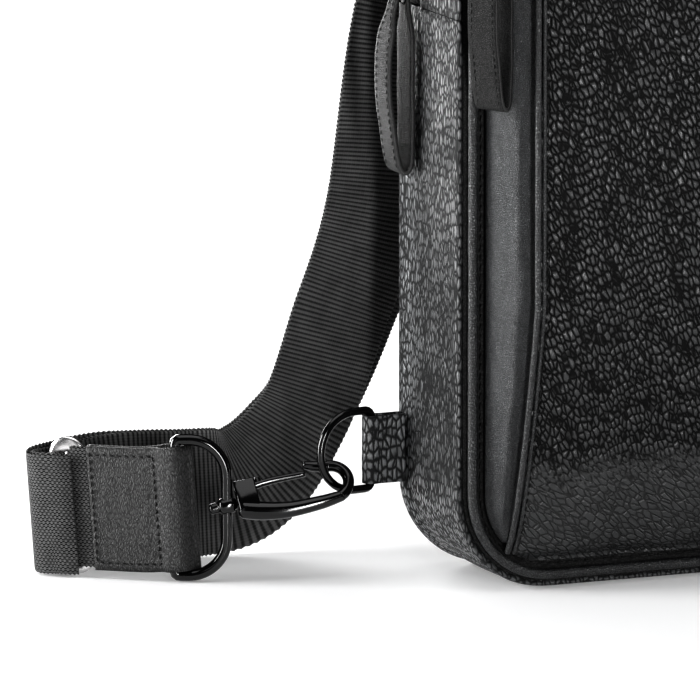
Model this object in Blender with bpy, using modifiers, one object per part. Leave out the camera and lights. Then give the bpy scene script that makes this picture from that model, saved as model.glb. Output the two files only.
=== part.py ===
"""Leather sling bag with a clip-on webbing shoulder strap.

The bag stands on its flat bottom.  +Z is up, -Y is the front of the bag and the origin is the middle
of its underside.  Main body, front pocket, two zips with leather pulls, lower ring tabs, and the
shoulder strap with its adjuster, leather end tab, D-ring and snap hook are separate pieces.
"""
import math

import bmesh
import bpy
from mathutils import Matrix, Vector

MM = 0.001
GAP = 0.3 * MM                    # clearance kept between touching pieces

# ---- bag body
WIDTH = 190 * MM
HEIGHT = 310 * MM
HALF_DEPTH = 21.5 * MM            # front and back faces of the main body, from its middle plane
BOTTOM_RADIUS = 29 * MM
TOP_RADIUS = 50 * MM
LEATHER = 1.6 * MM
PANEL_EDGE = LEATHER + GAP        # inset of the panels that fit inside the gusset
PIPING_RADIUS = 1.5 * MM
PIPING_INSET = 4.7 * MM
FOAM = 6 * MM
LINING = 0.8 * MM
CORNER_STEPS = 6

# ---- zips
MAIN_ZIP_START = 168 * MM         # height where the main zip begins on both sides
MAIN_ZIP_Y = 11 * MM              # the main zip runs near the back of the gusset
ZIP_TAPE = 9 * MM
ZIP_TAPE_THICK = 0.8 * MM
COIL_WIDTH = 4 * MM
COIL_HEIGHT = 1.3 * MM

# ---- zip sliders and their pulls
SLIDER_SIZE = (8 * MM, 11 * MM, 2.9 * MM)     # across the zip, along it, and out of it
SLIDER_LIFT = 2.35 * MM
PULL_HINGE_LIFT = 4.75 * MM
BAIL_HALF = 3.6 * MM
BAIL_DROP = 8.7 * MM
BAIL_WIRE = 0.6 * MM
PULL_LEATHER = 1.28 * MM
PULL_TOP_HALF = 2.6 * MM
PULL_HALF = 5 * MM

# ---- front pocket
POCKET_BOTTOM = 14.5 * MM
POCKET_EDGE_INSET = 9 * MM        # where the pocket's side strip meets the front panel
POCKET_TRIM_INSET = 18 * MM       # where it meets the pocket's front
POCKET_ROOT_Y = -23.5 * MM
POCKET_DEPTH = 16.5 * MM
POCKET_CROWN = 4 * MM
POCKET_RISE = 75.6 * MM           # height over which the pocket reaches its full depth
POCKET_SEAM = 9.4 * MM
POCKET_FRONT_INSET = 7.4 * MM     # the pocket's front meets the piping's groove here
STRIP_BULGE = 1.5 * MM
POCKET_ZIP_START = 192 * MM
POCKET_ZIP_CENTRE = 0.36          # as a share of the strip's width
TRIM_RADIUS = 1.5 * MM
TRIM_CLEAR = 1.9 * MM             # the side strip stops this far short of the trim's line

# ---- ring tabs and D-rings at the bag's lower corners
TAB_Y = 17 * MM
TAB_Z = 37 * MM
TAB_HEIGHT = 20 * MM
TAB_LEATHER = 1.2 * MM
BAG_RING_WIRE = 1.2 * MM
BAG_RING_BAR_X = 105.3 * MM
BAG_RING_HALF = 11.55 * MM
BAG_RING_REACH = 17.5 * MM
LEFT_RING_TURN = math.radians(10)  # the clipped ring is pulled a little towards the front
HOOKED_AT = math.radians(45)       # point of the ring, below its far end, that the hook holds

# ---- shoulder strap and its end fittings
WEB_WIDTH = 38 * MM
WEB_THICK = 1.4 * MM
STRAP_THICK = 3.0 * MM            # two layers of webbing lying together
STRAP_STEPS = 5
STRAP_TAB_LEATHER = 1.3 * MM
STRAP_TAB_WIDTH = 36.5 * MM
STRAP_RING_WIRE = 1.65 * MM
STRAP_RING_HALF = 20.05 * MM
STRAP_RING_REACH = 15 * MM
STRAP_RING_BAR = Vector((-162.2, 28.7, 21.85)) * MM
STRAP_RING_TURN = Vector((0.918, -0.397, 0))
STRAP_TAB_LENGTH = 25 * MM
STRAP_TAB_WAY = Vector((-0.789, 0.614, 0))   # from the D-ring's bar towards the adjuster
ADJUSTER_DISTANCE = 31.6 * MM
ADJUSTER_BACK = 2.2 * MM          # the webbing runs over the front of the adjuster's bars
ADJUSTER_WIRE = 1.3 * MM
ADJUSTER_HALF_WIDTH = 4.4 * MM
ADJUSTER_HALF_HEIGHT = 20.4 * MM

# ---- snap hook
HOOK_LEAN = math.radians(36)      # its top leans back about its own length
HOOK_BOW = 5.2 * MM
SWIVEL_PIN = 0.9 * MM
GATE_PIN = 0.5 * MM
GATE_PIVOT = (6.4, 3.6)           # along the hook and up from it, in mm
SPRING_TURNS = 2
SPRING_STEPS = 10                 # points on each turn
SPRING_RADIUS = 0.95              # mm
SPRING_PITCH = 0.38               # mm

# ---- strap anchor on the bag's top
ANCHOR_RISE = 9 * MM              # height of the ring's lower bar above the bag
ANCHOR_WIRE = 1.6 * MM
ANCHOR_RING_HEIGHT = 12 * MM
ANCHOR_CORNER = 2 * MM

Z_AXIS = Vector((0, 0, 1))

COLOURS = {
    "pebbled_leather": ((0.018, 0.018, 0.019), 0.42, 0.0),
    "smooth_leather": ((0.022, 0.022, 0.025), 0.34, 0.0),
    "edge_leather": ((0.03, 0.03, 0.031), 0.5, 0.0),
    "webbing": ((0.03, 0.03, 0.031), 0.8, 0.0),
    "lining": ((0.05, 0.05, 0.055), 0.85, 0.0),
    "foam": ((0.2, 0.2, 0.2), 0.9, 0.0),
    "board": ((0.12, 0.1, 0.08), 0.8, 0.0),
    "zip_tape": ((0.015, 0.015, 0.016), 0.8, 0.0),
    "zip_coil": ((0.02, 0.02, 0.02), 0.4, 0.0),
    "black_metal": ((0.01, 0.01, 0.011), 0.15, 1.0),
    "silver_metal": ((0.8, 0.8, 0.8), 0.2, 1.0),
    "spring_steel": ((0.5, 0.5, 0.5), 0.3, 1.0),
}


# ------------------------------------------------------------------ scene and object helpers
def clear_scene():
    for obj in list(bpy.data.objects):
        bpy.data.objects.remove(obj)


def new_collection(name):
    collection = bpy.data.collections.new(name)
    bpy.context.scene.collection.children.link(collection)
    return collection


def make_material(name):
    colour, roughness, metallic = COLOURS[name]
    material = bpy.data.materials.new(name)
    material.use_nodes = True
    shader = material.node_tree.nodes["Principled BSDF"]
    shader.inputs["Base Color"].default_value = (*colour, 1)
    shader.inputs["Roughness"].default_value = roughness
    shader.inputs["Metallic"].default_value = metallic
    return material


clear_scene()
PARTS = new_collection("sling_bag")
CUTTERS = new_collection("cutters")


def place(obj, name, material, collection=None):
    """Name an object, give it a material of its own and put it in its collection."""
    obj.name = name
    obj.data.name = name
    for owner in list(obj.users_collection):
        owner.objects.unlink(obj)
    (collection or PARTS).objects.link(obj)
    obj.data.materials.clear()
    if material:
        own = make_material(material)
        own.name = name
        obj.data.materials.append(own)
    return obj


def cutter(obj):
    """Hide an object that only cuts others."""
    place(obj, obj.name, None, CUTTERS)
    obj.hide_render = True
    obj.display_type = "WIRE"
    return obj


def sheet(name, rows, thickness, material, side=-1, loop=False):
    """A shell of even thickness over rows of points; loop closes the rows into a band."""
    mesh = bpy.data.meshes.new(name)
    count = len(rows[0])
    points = [point for row in rows for point in row]
    faces = []
    for i in range(len(rows) if loop else len(rows) - 1):
        a = i * count
        b = ((i + 1) % len(rows)) * count
        for j in range(count - 1):
            faces.append((a + j, a + j + 1, b + j + 1, b + j))
    mesh.from_pydata(points, [], faces)
    mesh.shade_smooth()
    obj = place(bpy.data.objects.new(name, mesh), name, material)
    solid = obj.modifiers.new("Thickness", "SOLIDIFY")
    solid.thickness = thickness
    solid.offset = side
    solid.use_even_offset = True
    return obj


def tube(name, points, radius, material, cyclic=False, sides=2, radii=None):
    """A round wire or cord through the points; radii scale it along its length."""
    curve = bpy.data.curves.new(name, "CURVE")
    curve.dimensions = "3D"
    curve.bevel_depth = radius
    curve.bevel_resolution = sides
    curve.use_fill_caps = not cyclic
    spline = curve.splines.new("POLY")
    spline.points.add(len(points) - 1)
    for i, point in enumerate(points):
        spline.points[i].co = (*point, 1)
        if radii:
            spline.points[i].radius = radii[i]
    spline.use_cyclic_u = cyclic
    return place(bpy.data.objects.new(name, curve), name, material)


def as_mesh(obj, material):
    """Turn a curve object into a mesh object with welded caps."""
    name = obj.name
    depsgraph = bpy.context.evaluated_depsgraph_get()
    mesh = bpy.data.meshes.new_from_object(obj.evaluated_get(depsgraph))
    weld = bmesh.new()
    weld.from_mesh(mesh)
    bmesh.ops.remove_doubles(weld, verts=weld.verts, dist=0.00001)
    weld.to_mesh(mesh)
    weld.free()
    matrix = obj.matrix_world.copy()
    bpy.data.objects.remove(obj)
    solid = bpy.data.objects.new(name, mesh)
    solid.matrix_world = matrix
    return place(solid, name, material)


def plate(name, outline, y_front, thickness, material):
    """A flat plate in the XZ plane whose front face is at y_front."""
    curve = bpy.data.curves.new(name, "CURVE")
    curve.dimensions = "2D"
    curve.fill_mode = "BOTH"
    curve.extrude = thickness / 2
    spline = curve.splines.new("POLY")
    spline.points.add(len(outline) - 1)
    for i, (x, z) in enumerate(outline):
        spline.points[i].co = (x, z, 0, 1)
    spline.use_cyclic_u = True
    obj = bpy.data.objects.new(name, curve)
    obj.rotation_euler = (math.pi / 2, 0, 0)
    obj.location = (0, y_front + thickness / 2, 0)
    return place(obj, name, material)


def cylinder(name, centre, axis, radius, length, material, sides=16):
    bpy.ops.mesh.primitive_cylinder_add(vertices=sides, radius=radius, depth=length)
    obj = bpy.context.object
    obj.matrix_world = Matrix.Translation(centre) @ Z_AXIS.rotation_difference(axis).to_matrix().to_4x4()
    obj.data.shade_smooth()
    obj.data.set_sharp_from_angle(angle=math.radians(40))
    return place(obj, name, material)


def block(name, centre, size, axes, material, bevel=0.0):
    """A box of the given size whose sides lie along three axes, with rounded edges."""
    bpy.ops.mesh.primitive_cube_add(size=1)
    obj = bpy.context.object
    for vertex in obj.data.vertices:
        vertex.co = Vector(vertex.co[i] * size[i] for i in range(3))
    turn = Matrix(axes).transposed().to_4x4()
    obj.matrix_world = Matrix.Translation(centre) @ turn
    if bevel:
        edges = obj.modifiers.new("Edges", "BEVEL")
        edges.width = bevel
        edges.segments = 2
    return place(obj, name, material)


def combine(obj, other, operation):
    """Join or cut a mesh with another, which moves to the cutters."""
    change = obj.modifiers.new(operation.title(), "BOOLEAN")
    change.operation = operation
    change.object = cutter(other)
    return obj


# ------------------------------------------------------------------ outlines of the bag
def arc(centre, radius, start, end, steps):
    angles = [math.radians(start + (end - start) * i / steps) for i in range(steps + 1)]
    return [(centre[0] + radius * math.cos(a), centre[1] + radius * math.sin(a)) for a in angles]


def lower_line(inset, top):
    """(x, z) points from the left side at height top, round the bottom, to the right side."""
    x = WIDTH / 2 - BOTTOM_RADIUS
    radius = BOTTOM_RADIUS - inset
    return ([(-WIDTH / 2 + inset, top)]
            + arc((-x, BOTTOM_RADIUS), radius, 180, 270, CORNER_STEPS)
            + arc((x, BOTTOM_RADIUS), radius, 270, 360, CORNER_STEPS)
            + [(WIDTH / 2 - inset, top)])


def upper_line(inset, bottom):
    """(x, z) points from the left side at height bottom, over the top, to the right side."""
    x = WIDTH / 2 - TOP_RADIUS
    z = HEIGHT - TOP_RADIUS
    radius = TOP_RADIUS - inset
    return ([(-WIDTH / 2 + inset, bottom)]
            + arc((-x, z), radius, 180, 90, CORNER_STEPS)
            + arc((x, z), radius, 90, 0, CORNER_STEPS)
            + [(WIDTH / 2 - inset, bottom)])


def whole_line(inset):
    """The closed outline, without repeating its first point."""
    return lower_line(inset, MAIN_ZIP_START) + upper_line(inset, MAIN_ZIP_START)[-2:0:-1]


def band_rows(line, y_start, y_end):
    return [[(x, y_start, z), (x, y_end, z)] for x, z in line]


# ------------------------------------------------------------------ main body
def make_body():
    y = HALF_DEPTH
    zip_front = MAIN_ZIP_Y - ZIP_TAPE / 2 - GAP
    zip_back = MAIN_ZIP_Y + ZIP_TAPE / 2 + GAP
    lower = lower_line(0, MAIN_ZIP_START - GAP)
    upper = upper_line(0, MAIN_ZIP_START)
    sheet("gusset_lower", band_rows(lower, -y, y), LEATHER, "pebbled_leather")
    sheet("gusset_upper_front", band_rows(upper, -y, zip_front), LEATHER, "pebbled_leather", side=1)
    sheet("gusset_upper_back", band_rows(upper, zip_back, y), LEATHER, "pebbled_leather", side=1)
    plate("front_panel", whole_line(PANEL_EDGE), -y, LEATHER, "pebbled_leather")
    plate("back_panel", whole_line(PANEL_EDGE), y - LEATHER, LEATHER, "pebbled_leather")
    plate("back_foam", whole_line(PANEL_EDGE + 3 * MM), y - LEATHER - GAP - FOAM, FOAM, "foam")
    for name, side in (("front_piping", -1), ("back_piping", 1)):
        ring = [(x, side * (y + GAP + PIPING_RADIUS), z) for x, z in whole_line(PIPING_INSET)]
        tube(name, ring, PIPING_RADIUS, "edge_leather", cyclic=True)
    tape_line = upper_line(LEATHER / 2, MAIN_ZIP_START)
    tape = band_rows(tape_line, zip_front + GAP, zip_back - GAP)
    sheet("main_zip_tape", tape, ZIP_TAPE_THICK, "zip_tape", side=1)
    coil_line = upper_line(LEATHER / 2 - GAP, MAIN_ZIP_START + 2 * MM)
    coil = band_rows(coil_line, MAIN_ZIP_Y - COIL_WIDTH / 2, MAIN_ZIP_Y + COIL_WIDTH / 2)
    sheet("main_zip_coil", coil, COIL_HEIGHT, "zip_coil", side=-1)


def make_lining():
    """The lining sack, open at its top, and the board that stiffens the bottom."""
    y_front = -HALF_DEPTH + LEATHER + GAP
    y_back = HALF_DEPTH - LEATHER - FOAM - 2 * GAP
    inset = LEATHER + GAP + 2 * MM
    mouth = 255 * MM
    sack = as_mesh(plate("lining", lower_line(inset, mouth), y_front, y_back - y_front, "lining"), "lining")
    hollow = lower_line(inset + LINING, mouth + 5 * MM)
    depth = y_back - y_front - 2 * LINING
    inside = as_mesh(plate("lining_hollow", hollow, y_front + LINING, depth, None), None)
    combine(sack, inside, "DIFFERENCE")
    board_width = WIDTH - 2 * BOTTOM_RADIUS
    middle = (0, (y_front + y_back) / 2, LEATHER + GAP + 0.8 * MM)
    axes = (Vector((1, 0, 0)), Vector((0, 1, 0)), Z_AXIS)
    block("base_board", middle, (board_width, y_back - y_front - 2 * MM, 1.2 * MM), axes, "board")


# ------------------------------------------------------------------ front pocket
def pocket_rise(z):
    """How far the pocket stands forward at height z, from 0 at its bottom seam to 1."""
    return min(1.0, max(0.0, (z - POCKET_SEAM) / POCKET_RISE)) ** 0.65


def trim_inset(z):
    rise = min(1.0, max(0.0, (z - POCKET_SEAM) / POCKET_RISE))
    return 14 * MM + (POCKET_TRIM_INSET - 14 * MM) * rise ** 0.4


def strip_edges(z):
    """Outer and inner edge of the left side strip at height z, as 3-D points."""
    radius = BOTTOM_RADIUS - POCKET_EDGE_INSET
    x_outer = -WIDTH / 2 + POCKET_EDGE_INSET
    if z < BOTTOM_RADIUS:
        drop = BOTTOM_RADIUS - z
        x_outer = -WIDTH / 2 + BOTTOM_RADIUS - math.sqrt(max(0, radius ** 2 - drop ** 2))
    outer = Vector((x_outer, POCKET_ROOT_Y, z))
    inner = Vector((-WIDTH / 2 + trim_inset(z), POCKET_ROOT_Y - POCKET_DEPTH * pocket_rise(z), z))
    return outer, inner


def across_strip(outer, inner, share, lift):
    """A point between the strip's edges, pushed out by its bulge."""
    chord = inner - outer
    outward = Vector((chord.y, -chord.x, 0))
    if abs(chord.z) > 1e-9:
        outward = chord.cross(chord.cross(Vector((0, 1, 0))))
    if outward.y > 0:
        outward = -outward
    bulge = STRIP_BULGE * 4 * share * (1 - share) * min(1, chord.length / (18 * MM))
    share = share * (1 - TRIM_CLEAR / chord.length)
    return outer + chord * share + outward.normalized() * (bulge + lift)


def strip_rows(stations, shares, lift=0.0):
    return [[across_strip(outer, inner, share, lift) for share in shares] for outer, inner in stations]


def arch_stations(bottom):
    """Edges of the strip from the left side at height bottom, over the top, to the right side."""
    outer = upper_line(POCKET_EDGE_INSET, bottom)
    inner = upper_line(POCKET_TRIM_INSET, bottom)
    return [(Vector((a[0], POCKET_ROOT_Y, a[1])), Vector((b[0], POCKET_ROOT_Y - POCKET_DEPTH, b[1])))
            for a, b in zip(outer, inner)]


def mirrored(rows):
    return [[Vector((-point.x, point.y, point.z)) for point in row] for row in rows]


def trim_line():
    """Centre line of the trim from the lower left corner, over the top, to the lower right."""
    heights = [16, 20, 26, 34, 44, 56, 70, 85, 120, 160]
    forward = Vector((0, -TRIM_RADIUS - 0.2 * MM, 0))
    left = [strip_edges(z * MM)[1] + forward for z in heights]
    top = [inner + forward for outer, inner in arch_stations(POCKET_ZIP_START)]
    right = [Vector((-point.x, point.y, point.z)) for point in reversed(left)]
    return left + top + right


def pocket_front_rows():
    """Rows across the pocket's front from its bottom seam to its top edge."""
    top = HEIGHT - POCKET_TRIM_INSET
    corner = TOP_RADIUS - POCKET_TRIM_INSET
    flat = WIDTH / 2 - POCKET_TRIM_INSET - corner
    seam_corner = BOTTOM_RADIUS - POCKET_FRONT_INSET
    heights = [z * MM for z in (8.2, 10, 12, 16, 22, 30, 42, 56, 70, 85, 110, 140, 170, 200, 230, 258)]
    heights += [top - corner + corner * math.sin(math.radians(a)) for a in (15, 32, 50, 68, 90)]
    rows = []
    for z in heights:
        half = WIDTH / 2 - trim_inset(z) - 0.6 * MM
        if z > top - corner:
            half = flat + math.sqrt(max(0, corner ** 2 - (z - top + corner) ** 2)) - 0.6 * MM
        if z < BOTTOM_RADIUS:
            reach = math.sqrt(max(0, seam_corner ** 2 - (BOTTOM_RADIUS - z) ** 2))
            half = min(half, WIDTH / 2 - BOTTOM_RADIUS + reach)
        edge_y = POCKET_ROOT_Y - POCKET_DEPTH * pocket_rise(z)
        height_share = min(1, max(0, (z - POCKET_SEAM) / (top - POCKET_SEAM)))
        fade = math.sin(math.pi * height_share ** 0.8)
        columns = [math.sin(math.radians(a)) for a in range(-90, 91, 15)]
        rows.append([Vector((half * s, edge_y - POCKET_CROWN * fade * (1 - s * s), z)) for s in columns])
    return rows


def make_pocket():
    """The smooth side strips, the zip that continues them over the top, the front and its trim."""
    low, high = 0.04, 1.0
    gap = 0.015
    half = 0.5 * ZIP_TAPE / (20 * MM) * 0.8
    shares = (low, 0.27, 0.5, 0.73, high)
    heights = [POCKET_BOTTOM + 1.5 * MM] + [z * MM for z in (20, 26, 34, 44, 56, 70, 85, 125, 160)]
    stations = [strip_edges(z) for z in heights + [POCKET_ZIP_START - GAP]]
    left = strip_rows(stations, shares)
    sheet("pocket_side_left", left, LEATHER, "smooth_leather", side=-1)
    sheet("pocket_side_right", mirrored(left), LEATHER, "smooth_leather", side=1)
    arch = arch_stations(POCKET_ZIP_START)
    zip_low = POCKET_ZIP_CENTRE - half
    zip_high = POCKET_ZIP_CENTRE + half
    outer_edge = strip_rows(arch, (low, zip_low - gap))
    inner_edge = strip_rows(arch, (zip_high + gap, 0.75, high))
    sheet("pocket_zip_edge_outer", outer_edge, LEATHER, "smooth_leather", side=-1)
    sheet("pocket_zip_edge_inner", inner_edge, LEATHER, "smooth_leather", side=-1)
    tape = strip_rows(arch, (zip_low, POCKET_ZIP_CENTRE, zip_high), lift=-0.4 * MM)
    sheet("pocket_zip_tape", tape, ZIP_TAPE_THICK, "zip_tape", side=-1)
    coil_half = 0.5 * COIL_WIDTH / (20 * MM)
    coil_shares = (POCKET_ZIP_CENTRE - coil_half, POCKET_ZIP_CENTRE + coil_half)
    coil = strip_rows(arch_stations(POCKET_ZIP_START + 2 * MM), coil_shares, lift=-0.1 * MM)
    sheet("pocket_zip_coil", coil, COIL_HEIGHT, "zip_coil", side=1)
    sheet("pocket_front", pocket_front_rows(), LEATHER, "pebbled_leather", side=-1)
    tube("pocket_trim", trim_line(), TRIM_RADIUS, "edge_leather")


# ------------------------------------------------------------------ rings, tabs and zip pulls
def ring_points(half, reach, far, near, steps=6):
    """A D-ring as (out, up) points: straight bar at out = 0, corners of radius near and far."""
    return (arc((reach - far, half - far), far, 90, 0, steps)
            + arc((reach - far, -half + far), far, 0, -90, steps)
            + arc((near, -half + near), near, -90, -180, 3)
            + arc((near, half - near), near, 180, 90, 3))


def without_repeats(points):
    kept = []
    for point in points:
        if not kept or (Vector(point) - Vector(kept[-1])).length > 0.05 * MM:
            kept.append(point)
    if (Vector(kept[0]) - Vector(kept[-1])).length < 0.05 * MM:
        kept.pop()
    return kept


def wire_ring(name, bar, outward, shape, radius, material):
    """A closed wire ring whose straight bar stands on the hinge axis through bar."""
    points = [outward * out + Z_AXIS * up for out, up in without_repeats(shape)]
    ring = tube(name, points, radius, material, cyclic=True, sides=3)
    ring.location = bar
    return ring


def folded_tab(name, bar, outward, length, height, fold, leather, material):
    """Leather folded round a ring's bar: two layers that run back from the fold."""
    side = outward.cross(Z_AXIS)
    half_turn = arc((0, 0), fold, 90, -90, 8)
    profile = [(-length, fold * 0.62), (-length * 0.5, fold * 0.8)] + half_turn
    profile += [(-length * 0.5, -fold * 0.8), (-length, -fold * 0.62)]
    rows = []
    for out, across in profile:
        foot = bar + outward * out + side * across
        rows.append([foot - Z_AXIS * height / 2, foot + Z_AXIS * height / 2])
    return sheet(name, rows, leather, material, side=0)


def make_ring_tabs():
    fold = BAG_RING_WIRE + GAP + TAB_LEATHER / 2
    length = BAG_RING_BAR_X - WIDTH / 2 - GAP
    shape = ring_points(BAG_RING_HALF, BAG_RING_REACH, BAG_RING_HALF, 2 * MM)
    for name, side, turn in (("left", -1, LEFT_RING_TURN), ("right", 1, 0.0)):
        bar = Vector((side * BAG_RING_BAR_X, TAB_Y, TAB_Z))
        outward = Vector((side, 0, 0))
        folded_tab(name + "_ring_tab", bar, outward, length, TAB_HEIGHT, fold, TAB_LEATHER,
                   "pebbled_leather")
        ring_way = Vector((side * math.cos(turn), -math.sin(turn), 0))
        wire_ring(name + "_bag_ring", bar, ring_way, shape, BAG_RING_WIRE, "black_metal")


def pull_profile():
    """Teardrop of the folded leather pull as (out, up) from the bail's lower bar."""
    outer = [(-1.5, 0.3), (-0.9, 1.4), (0.3, 1.7), (1.5, 0.9), (3.0, -5), (4.4, -12), (5.0, -20), (4.7, -29),
             (3.4, -39), (2.2, -46.2)]
    inner = [(1.0, -49.2), (-0.6, -49.6), (-1.8, -47.4), (-2.2, -42), (-2.2, -34), (-2.2, -24), (-2.1, -13),
             (-1.9, -4)]
    return [(away * MM, up * MM) for away, up in outer + inner]


def pull_half_width(up):
    """Half the width of the pull's leather: narrow in the bail, wider below it."""
    spread = min(1, max(0, (-up - 2 * MM) / (8 * MM)))
    return PULL_TOP_HALF + (PULL_HALF - PULL_TOP_HALF) * spread


def make_slider(prefix, base, out, across):
    """A zip slider riding on its coil, with its bail and the folded leather pull.

    base is on the coil's outer line, out points away from the bag and across lies over the zip.
    """
    axes = (across, Z_AXIS, out)
    centre = base + out * SLIDER_LIFT
    body = block(prefix + "_slider", centre, SLIDER_SIZE, axes, "black_metal", 0.8 * MM)
    channel_size = (COIL_WIDTH + 1.2 * MM, 14 * MM, 2 * MM)
    channel_at = base + out * (GAP + COIL_HEIGHT - 0.7 * MM)
    combine(body, block(prefix + "_channel", channel_at, channel_size, axes, None), "DIFFERENCE")
    hoop = [(-3.6, 3.0), (-3.4, 5.0), (-2.2, 6.2), (0, 6.5), (2.2, 6.2), (3.4, 5.0), (3.6, 3.0)]
    arch = [base + (Z_AXIS * up + out * lift) * MM for up, lift in hoop]
    combine(body, as_mesh(tube(prefix + "_bridge", arch, 0.7 * MM, None), None), "UNION")
    hinge = base + out * PULL_HINGE_LIFT
    round_off = 0.8 * MM
    corners = [(-0.8, 0), (0.8, 0), (1, -round_off), (1, round_off - BAIL_DROP), (0.8, -BAIL_DROP),
               (-0.8, -BAIL_DROP), (-1, round_off - BAIL_DROP), (-1, -round_off)]
    bail_shape = [across * (side * BAIL_HALF) + Z_AXIS * up for side, up in corners]
    bail = tube(prefix + "_pull_bail", bail_shape, BAIL_WIRE, "black_metal", cyclic=True)
    bail.location = hinge
    foot = hinge - Z_AXIS * BAIL_DROP
    rows = []
    for away, up in pull_profile():
        middle = foot + out * away + Z_AXIS * up
        edge = across * pull_half_width(up)
        rows.append([middle - edge, middle + edge])
    sheet(prefix + "_pull_leather", rows, PULL_LEATHER, "edge_leather", side=0, loop=True)


def make_zip_sliders():
    main_base = Vector((-WIDTH / 2 + LEATHER / 2 - GAP, MAIN_ZIP_Y, MAIN_ZIP_START + 10 * MM))
    make_slider("main_zip", main_base, Vector((-1, 0, 0)), Vector((0, -1, 0)))
    outer, inner = strip_edges(POCKET_ZIP_START)
    chord = (inner - outer).normalized()
    out = Vector((chord.y, -chord.x, 0))
    base = across_strip(outer, inner, POCKET_ZIP_CENTRE, -0.1 * MM)
    pocket_base = Vector((base.x, base.y, POCKET_ZIP_START + 10 * MM))
    make_slider("pocket_zip", pocket_base, out, chord)


# ------------------------------------------------------------------ shoulder strap
# Middle of the doubled webbing and the way its width points, from the adjuster, round the fold
# beside it, along the surface behind the bag, and up behind its left side.
STRAP_ROUTE = [
    ((-188.8, 48.3, 21.8), (0, 0, -1)),
    ((-192.0, 50.8, 21.8), (0, 0, -1)),
    ((-194.3, 53.6, 21.6), (0, 0, -1)),
    ((-194.8, 57.0, 21.4), (0, 0, -1)),
    ((-193.0, 60.2, 21.2), (0, 0, -1)),
    ((-189.6, 61.9, 21), (0, 0, -1)),
    ((-184.0, 62.4, 20.6), (0, 0, -1)),
    ((-172, 62.6, 20), (0, 0, -1)),
    ((-157.8, 61.6, 19.6), (0, 0, -1)),
    ((-143, 59.2, 19.4), (0.1, 0, -0.99)),
    ((-131.5, 56.9, 20.8), (0.36, 0.08, -0.93)),
    ((-123, 55.4, 26.3), (0.62, 0.16, -0.76)),
    ((-115.2, 53.6, 36), (0.83, 0.27, -0.49)),
    ((-108.6, 52.4, 46.9), (0.91, 0.33, -0.26)),
    ((-100, 52, 68), (0.93, 0.31, -0.22)),
    ((-87.9, 51.6, 102), (0.96, 0.27, -0.13)),
    ((-77.5, 53.1, 161), (0.96, 0.26, -0.15)),
    ((-54.5, 55.5, 223), (0.95, 0.16, -0.27)),
    ((-31.5, 57.4, 286), (0.94, 0.05, -0.33)),
]
CREST_FOOT = Vector((0, 19.2, 338)) * MM      # just above the anchor ring
CREST_START = 8 * MM              # the webbing rises straight for this far before it turns back
CREST_RADIUS = 19.2 * MM
CREST_LEAN = math.radians(10)     # the crest's axis leans by half the slope of the run behind the bag
CREST_STEPS = 6


def crest_stations():
    """Half a turn of a helix from the slanting run behind the bag, over the top, to the anchor ring."""
    axis = Vector((math.cos(CREST_LEAN), 0, -math.sin(CREST_LEAN)))
    rise = Vector((math.sin(CREST_LEAN), 0, math.cos(CREST_LEAN)))
    drift = -CREST_RADIUS * math.tan(CREST_LEAN)
    centre = CREST_FOOT + Vector((0, CREST_RADIUS, CREST_START))
    stations = []
    for i in range(CREST_STEPS, -1, -1):
        turn = math.pi * i / CREST_STEPS
        out = rise * math.sin(turn) - Vector((0, 1, 0)) * math.cos(turn)
        run = axis * drift + (rise * math.cos(turn) + Vector((0, 1, 0)) * math.sin(turn)) * CREST_RADIUS
        way = run.cross(out).normalized()
        stations.append((centre + axis * drift * turn + out * CREST_RADIUS, way))
    return stations + [(CREST_FOOT, Vector((1, 0, 0)))]


def smooth_route(stations, steps):
    """Points of a Catmull-Rom curve through stations of several numbers each."""
    padded = [stations[0]] + stations + [stations[-1]]
    points = []
    for i in range(1, len(padded) - 2):
        a, b, c, d = padded[i - 1:i + 3]
        for step in range(steps):
            t = step / steps
            points.append((b * 2 + (c - a) * t + (a * 2 - b * 5 + c * 4 - d) * t * t
                           + (b * 3 - a - c * 3 + d) * t ** 3) / 2)
    return points + [stations[-1]]


def strap_rows():
    crest = crest_stations()
    centres = smooth_route([Vector(centre) * MM for centre, way in STRAP_ROUTE]
                           + [centre for centre, way in crest], STRAP_STEPS)
    ways = smooth_route([Vector(way) for centre, way in STRAP_ROUTE] + [way for centre, way in crest],
                        STRAP_STEPS)
    rows = []
    for i, (centre, way) in enumerate(zip(centres, ways)):
        run = centres[min(i + 1, len(centres) - 1)] - centres[max(i - 1, 0)]
        run.normalize()
        way = (way - run * way.dot(run)).normalized()
        rows.append([centre - way * WEB_WIDTH / 2, centre, centre + way * WEB_WIDTH / 2])
    return rows


def make_strap():
    """The doubled webbing, the leather end tab with its webbing, the adjuster and the D-ring."""
    sheet("strap_webbing", strap_rows(), STRAP_THICK, "webbing", side=0)
    fold = STRAP_RING_WIRE + GAP + STRAP_TAB_LEATHER / 2
    folded_tab("strap_end_tab", STRAP_RING_BAR, -STRAP_TAB_WAY, STRAP_TAB_LENGTH, STRAP_TAB_WIDTH, fold,
               STRAP_TAB_LEATHER, "smooth_leather")
    edge = Z_AXIS * (WEB_WIDTH / 2 - MM)
    reaches = (6 * MM, 18 * MM, ADJUSTER_DISTANCE - 1.2 * MM)
    stops = [STRAP_RING_BAR + STRAP_TAB_WAY * reach for reach in reaches]
    sheet("tab_webbing", [[stop - edge, stop + edge] for stop in stops], 1.1 * MM, "webbing", side=0)
    make_adjuster()
    shape = ring_points(STRAP_RING_HALF, STRAP_RING_REACH, 11 * MM, 1.2 * MM)
    ring = wire_ring("strap_ring", STRAP_RING_BAR, STRAP_RING_TURN, shape, STRAP_RING_WIRE, "black_metal")
    return as_mesh(ring, "black_metal")


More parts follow.
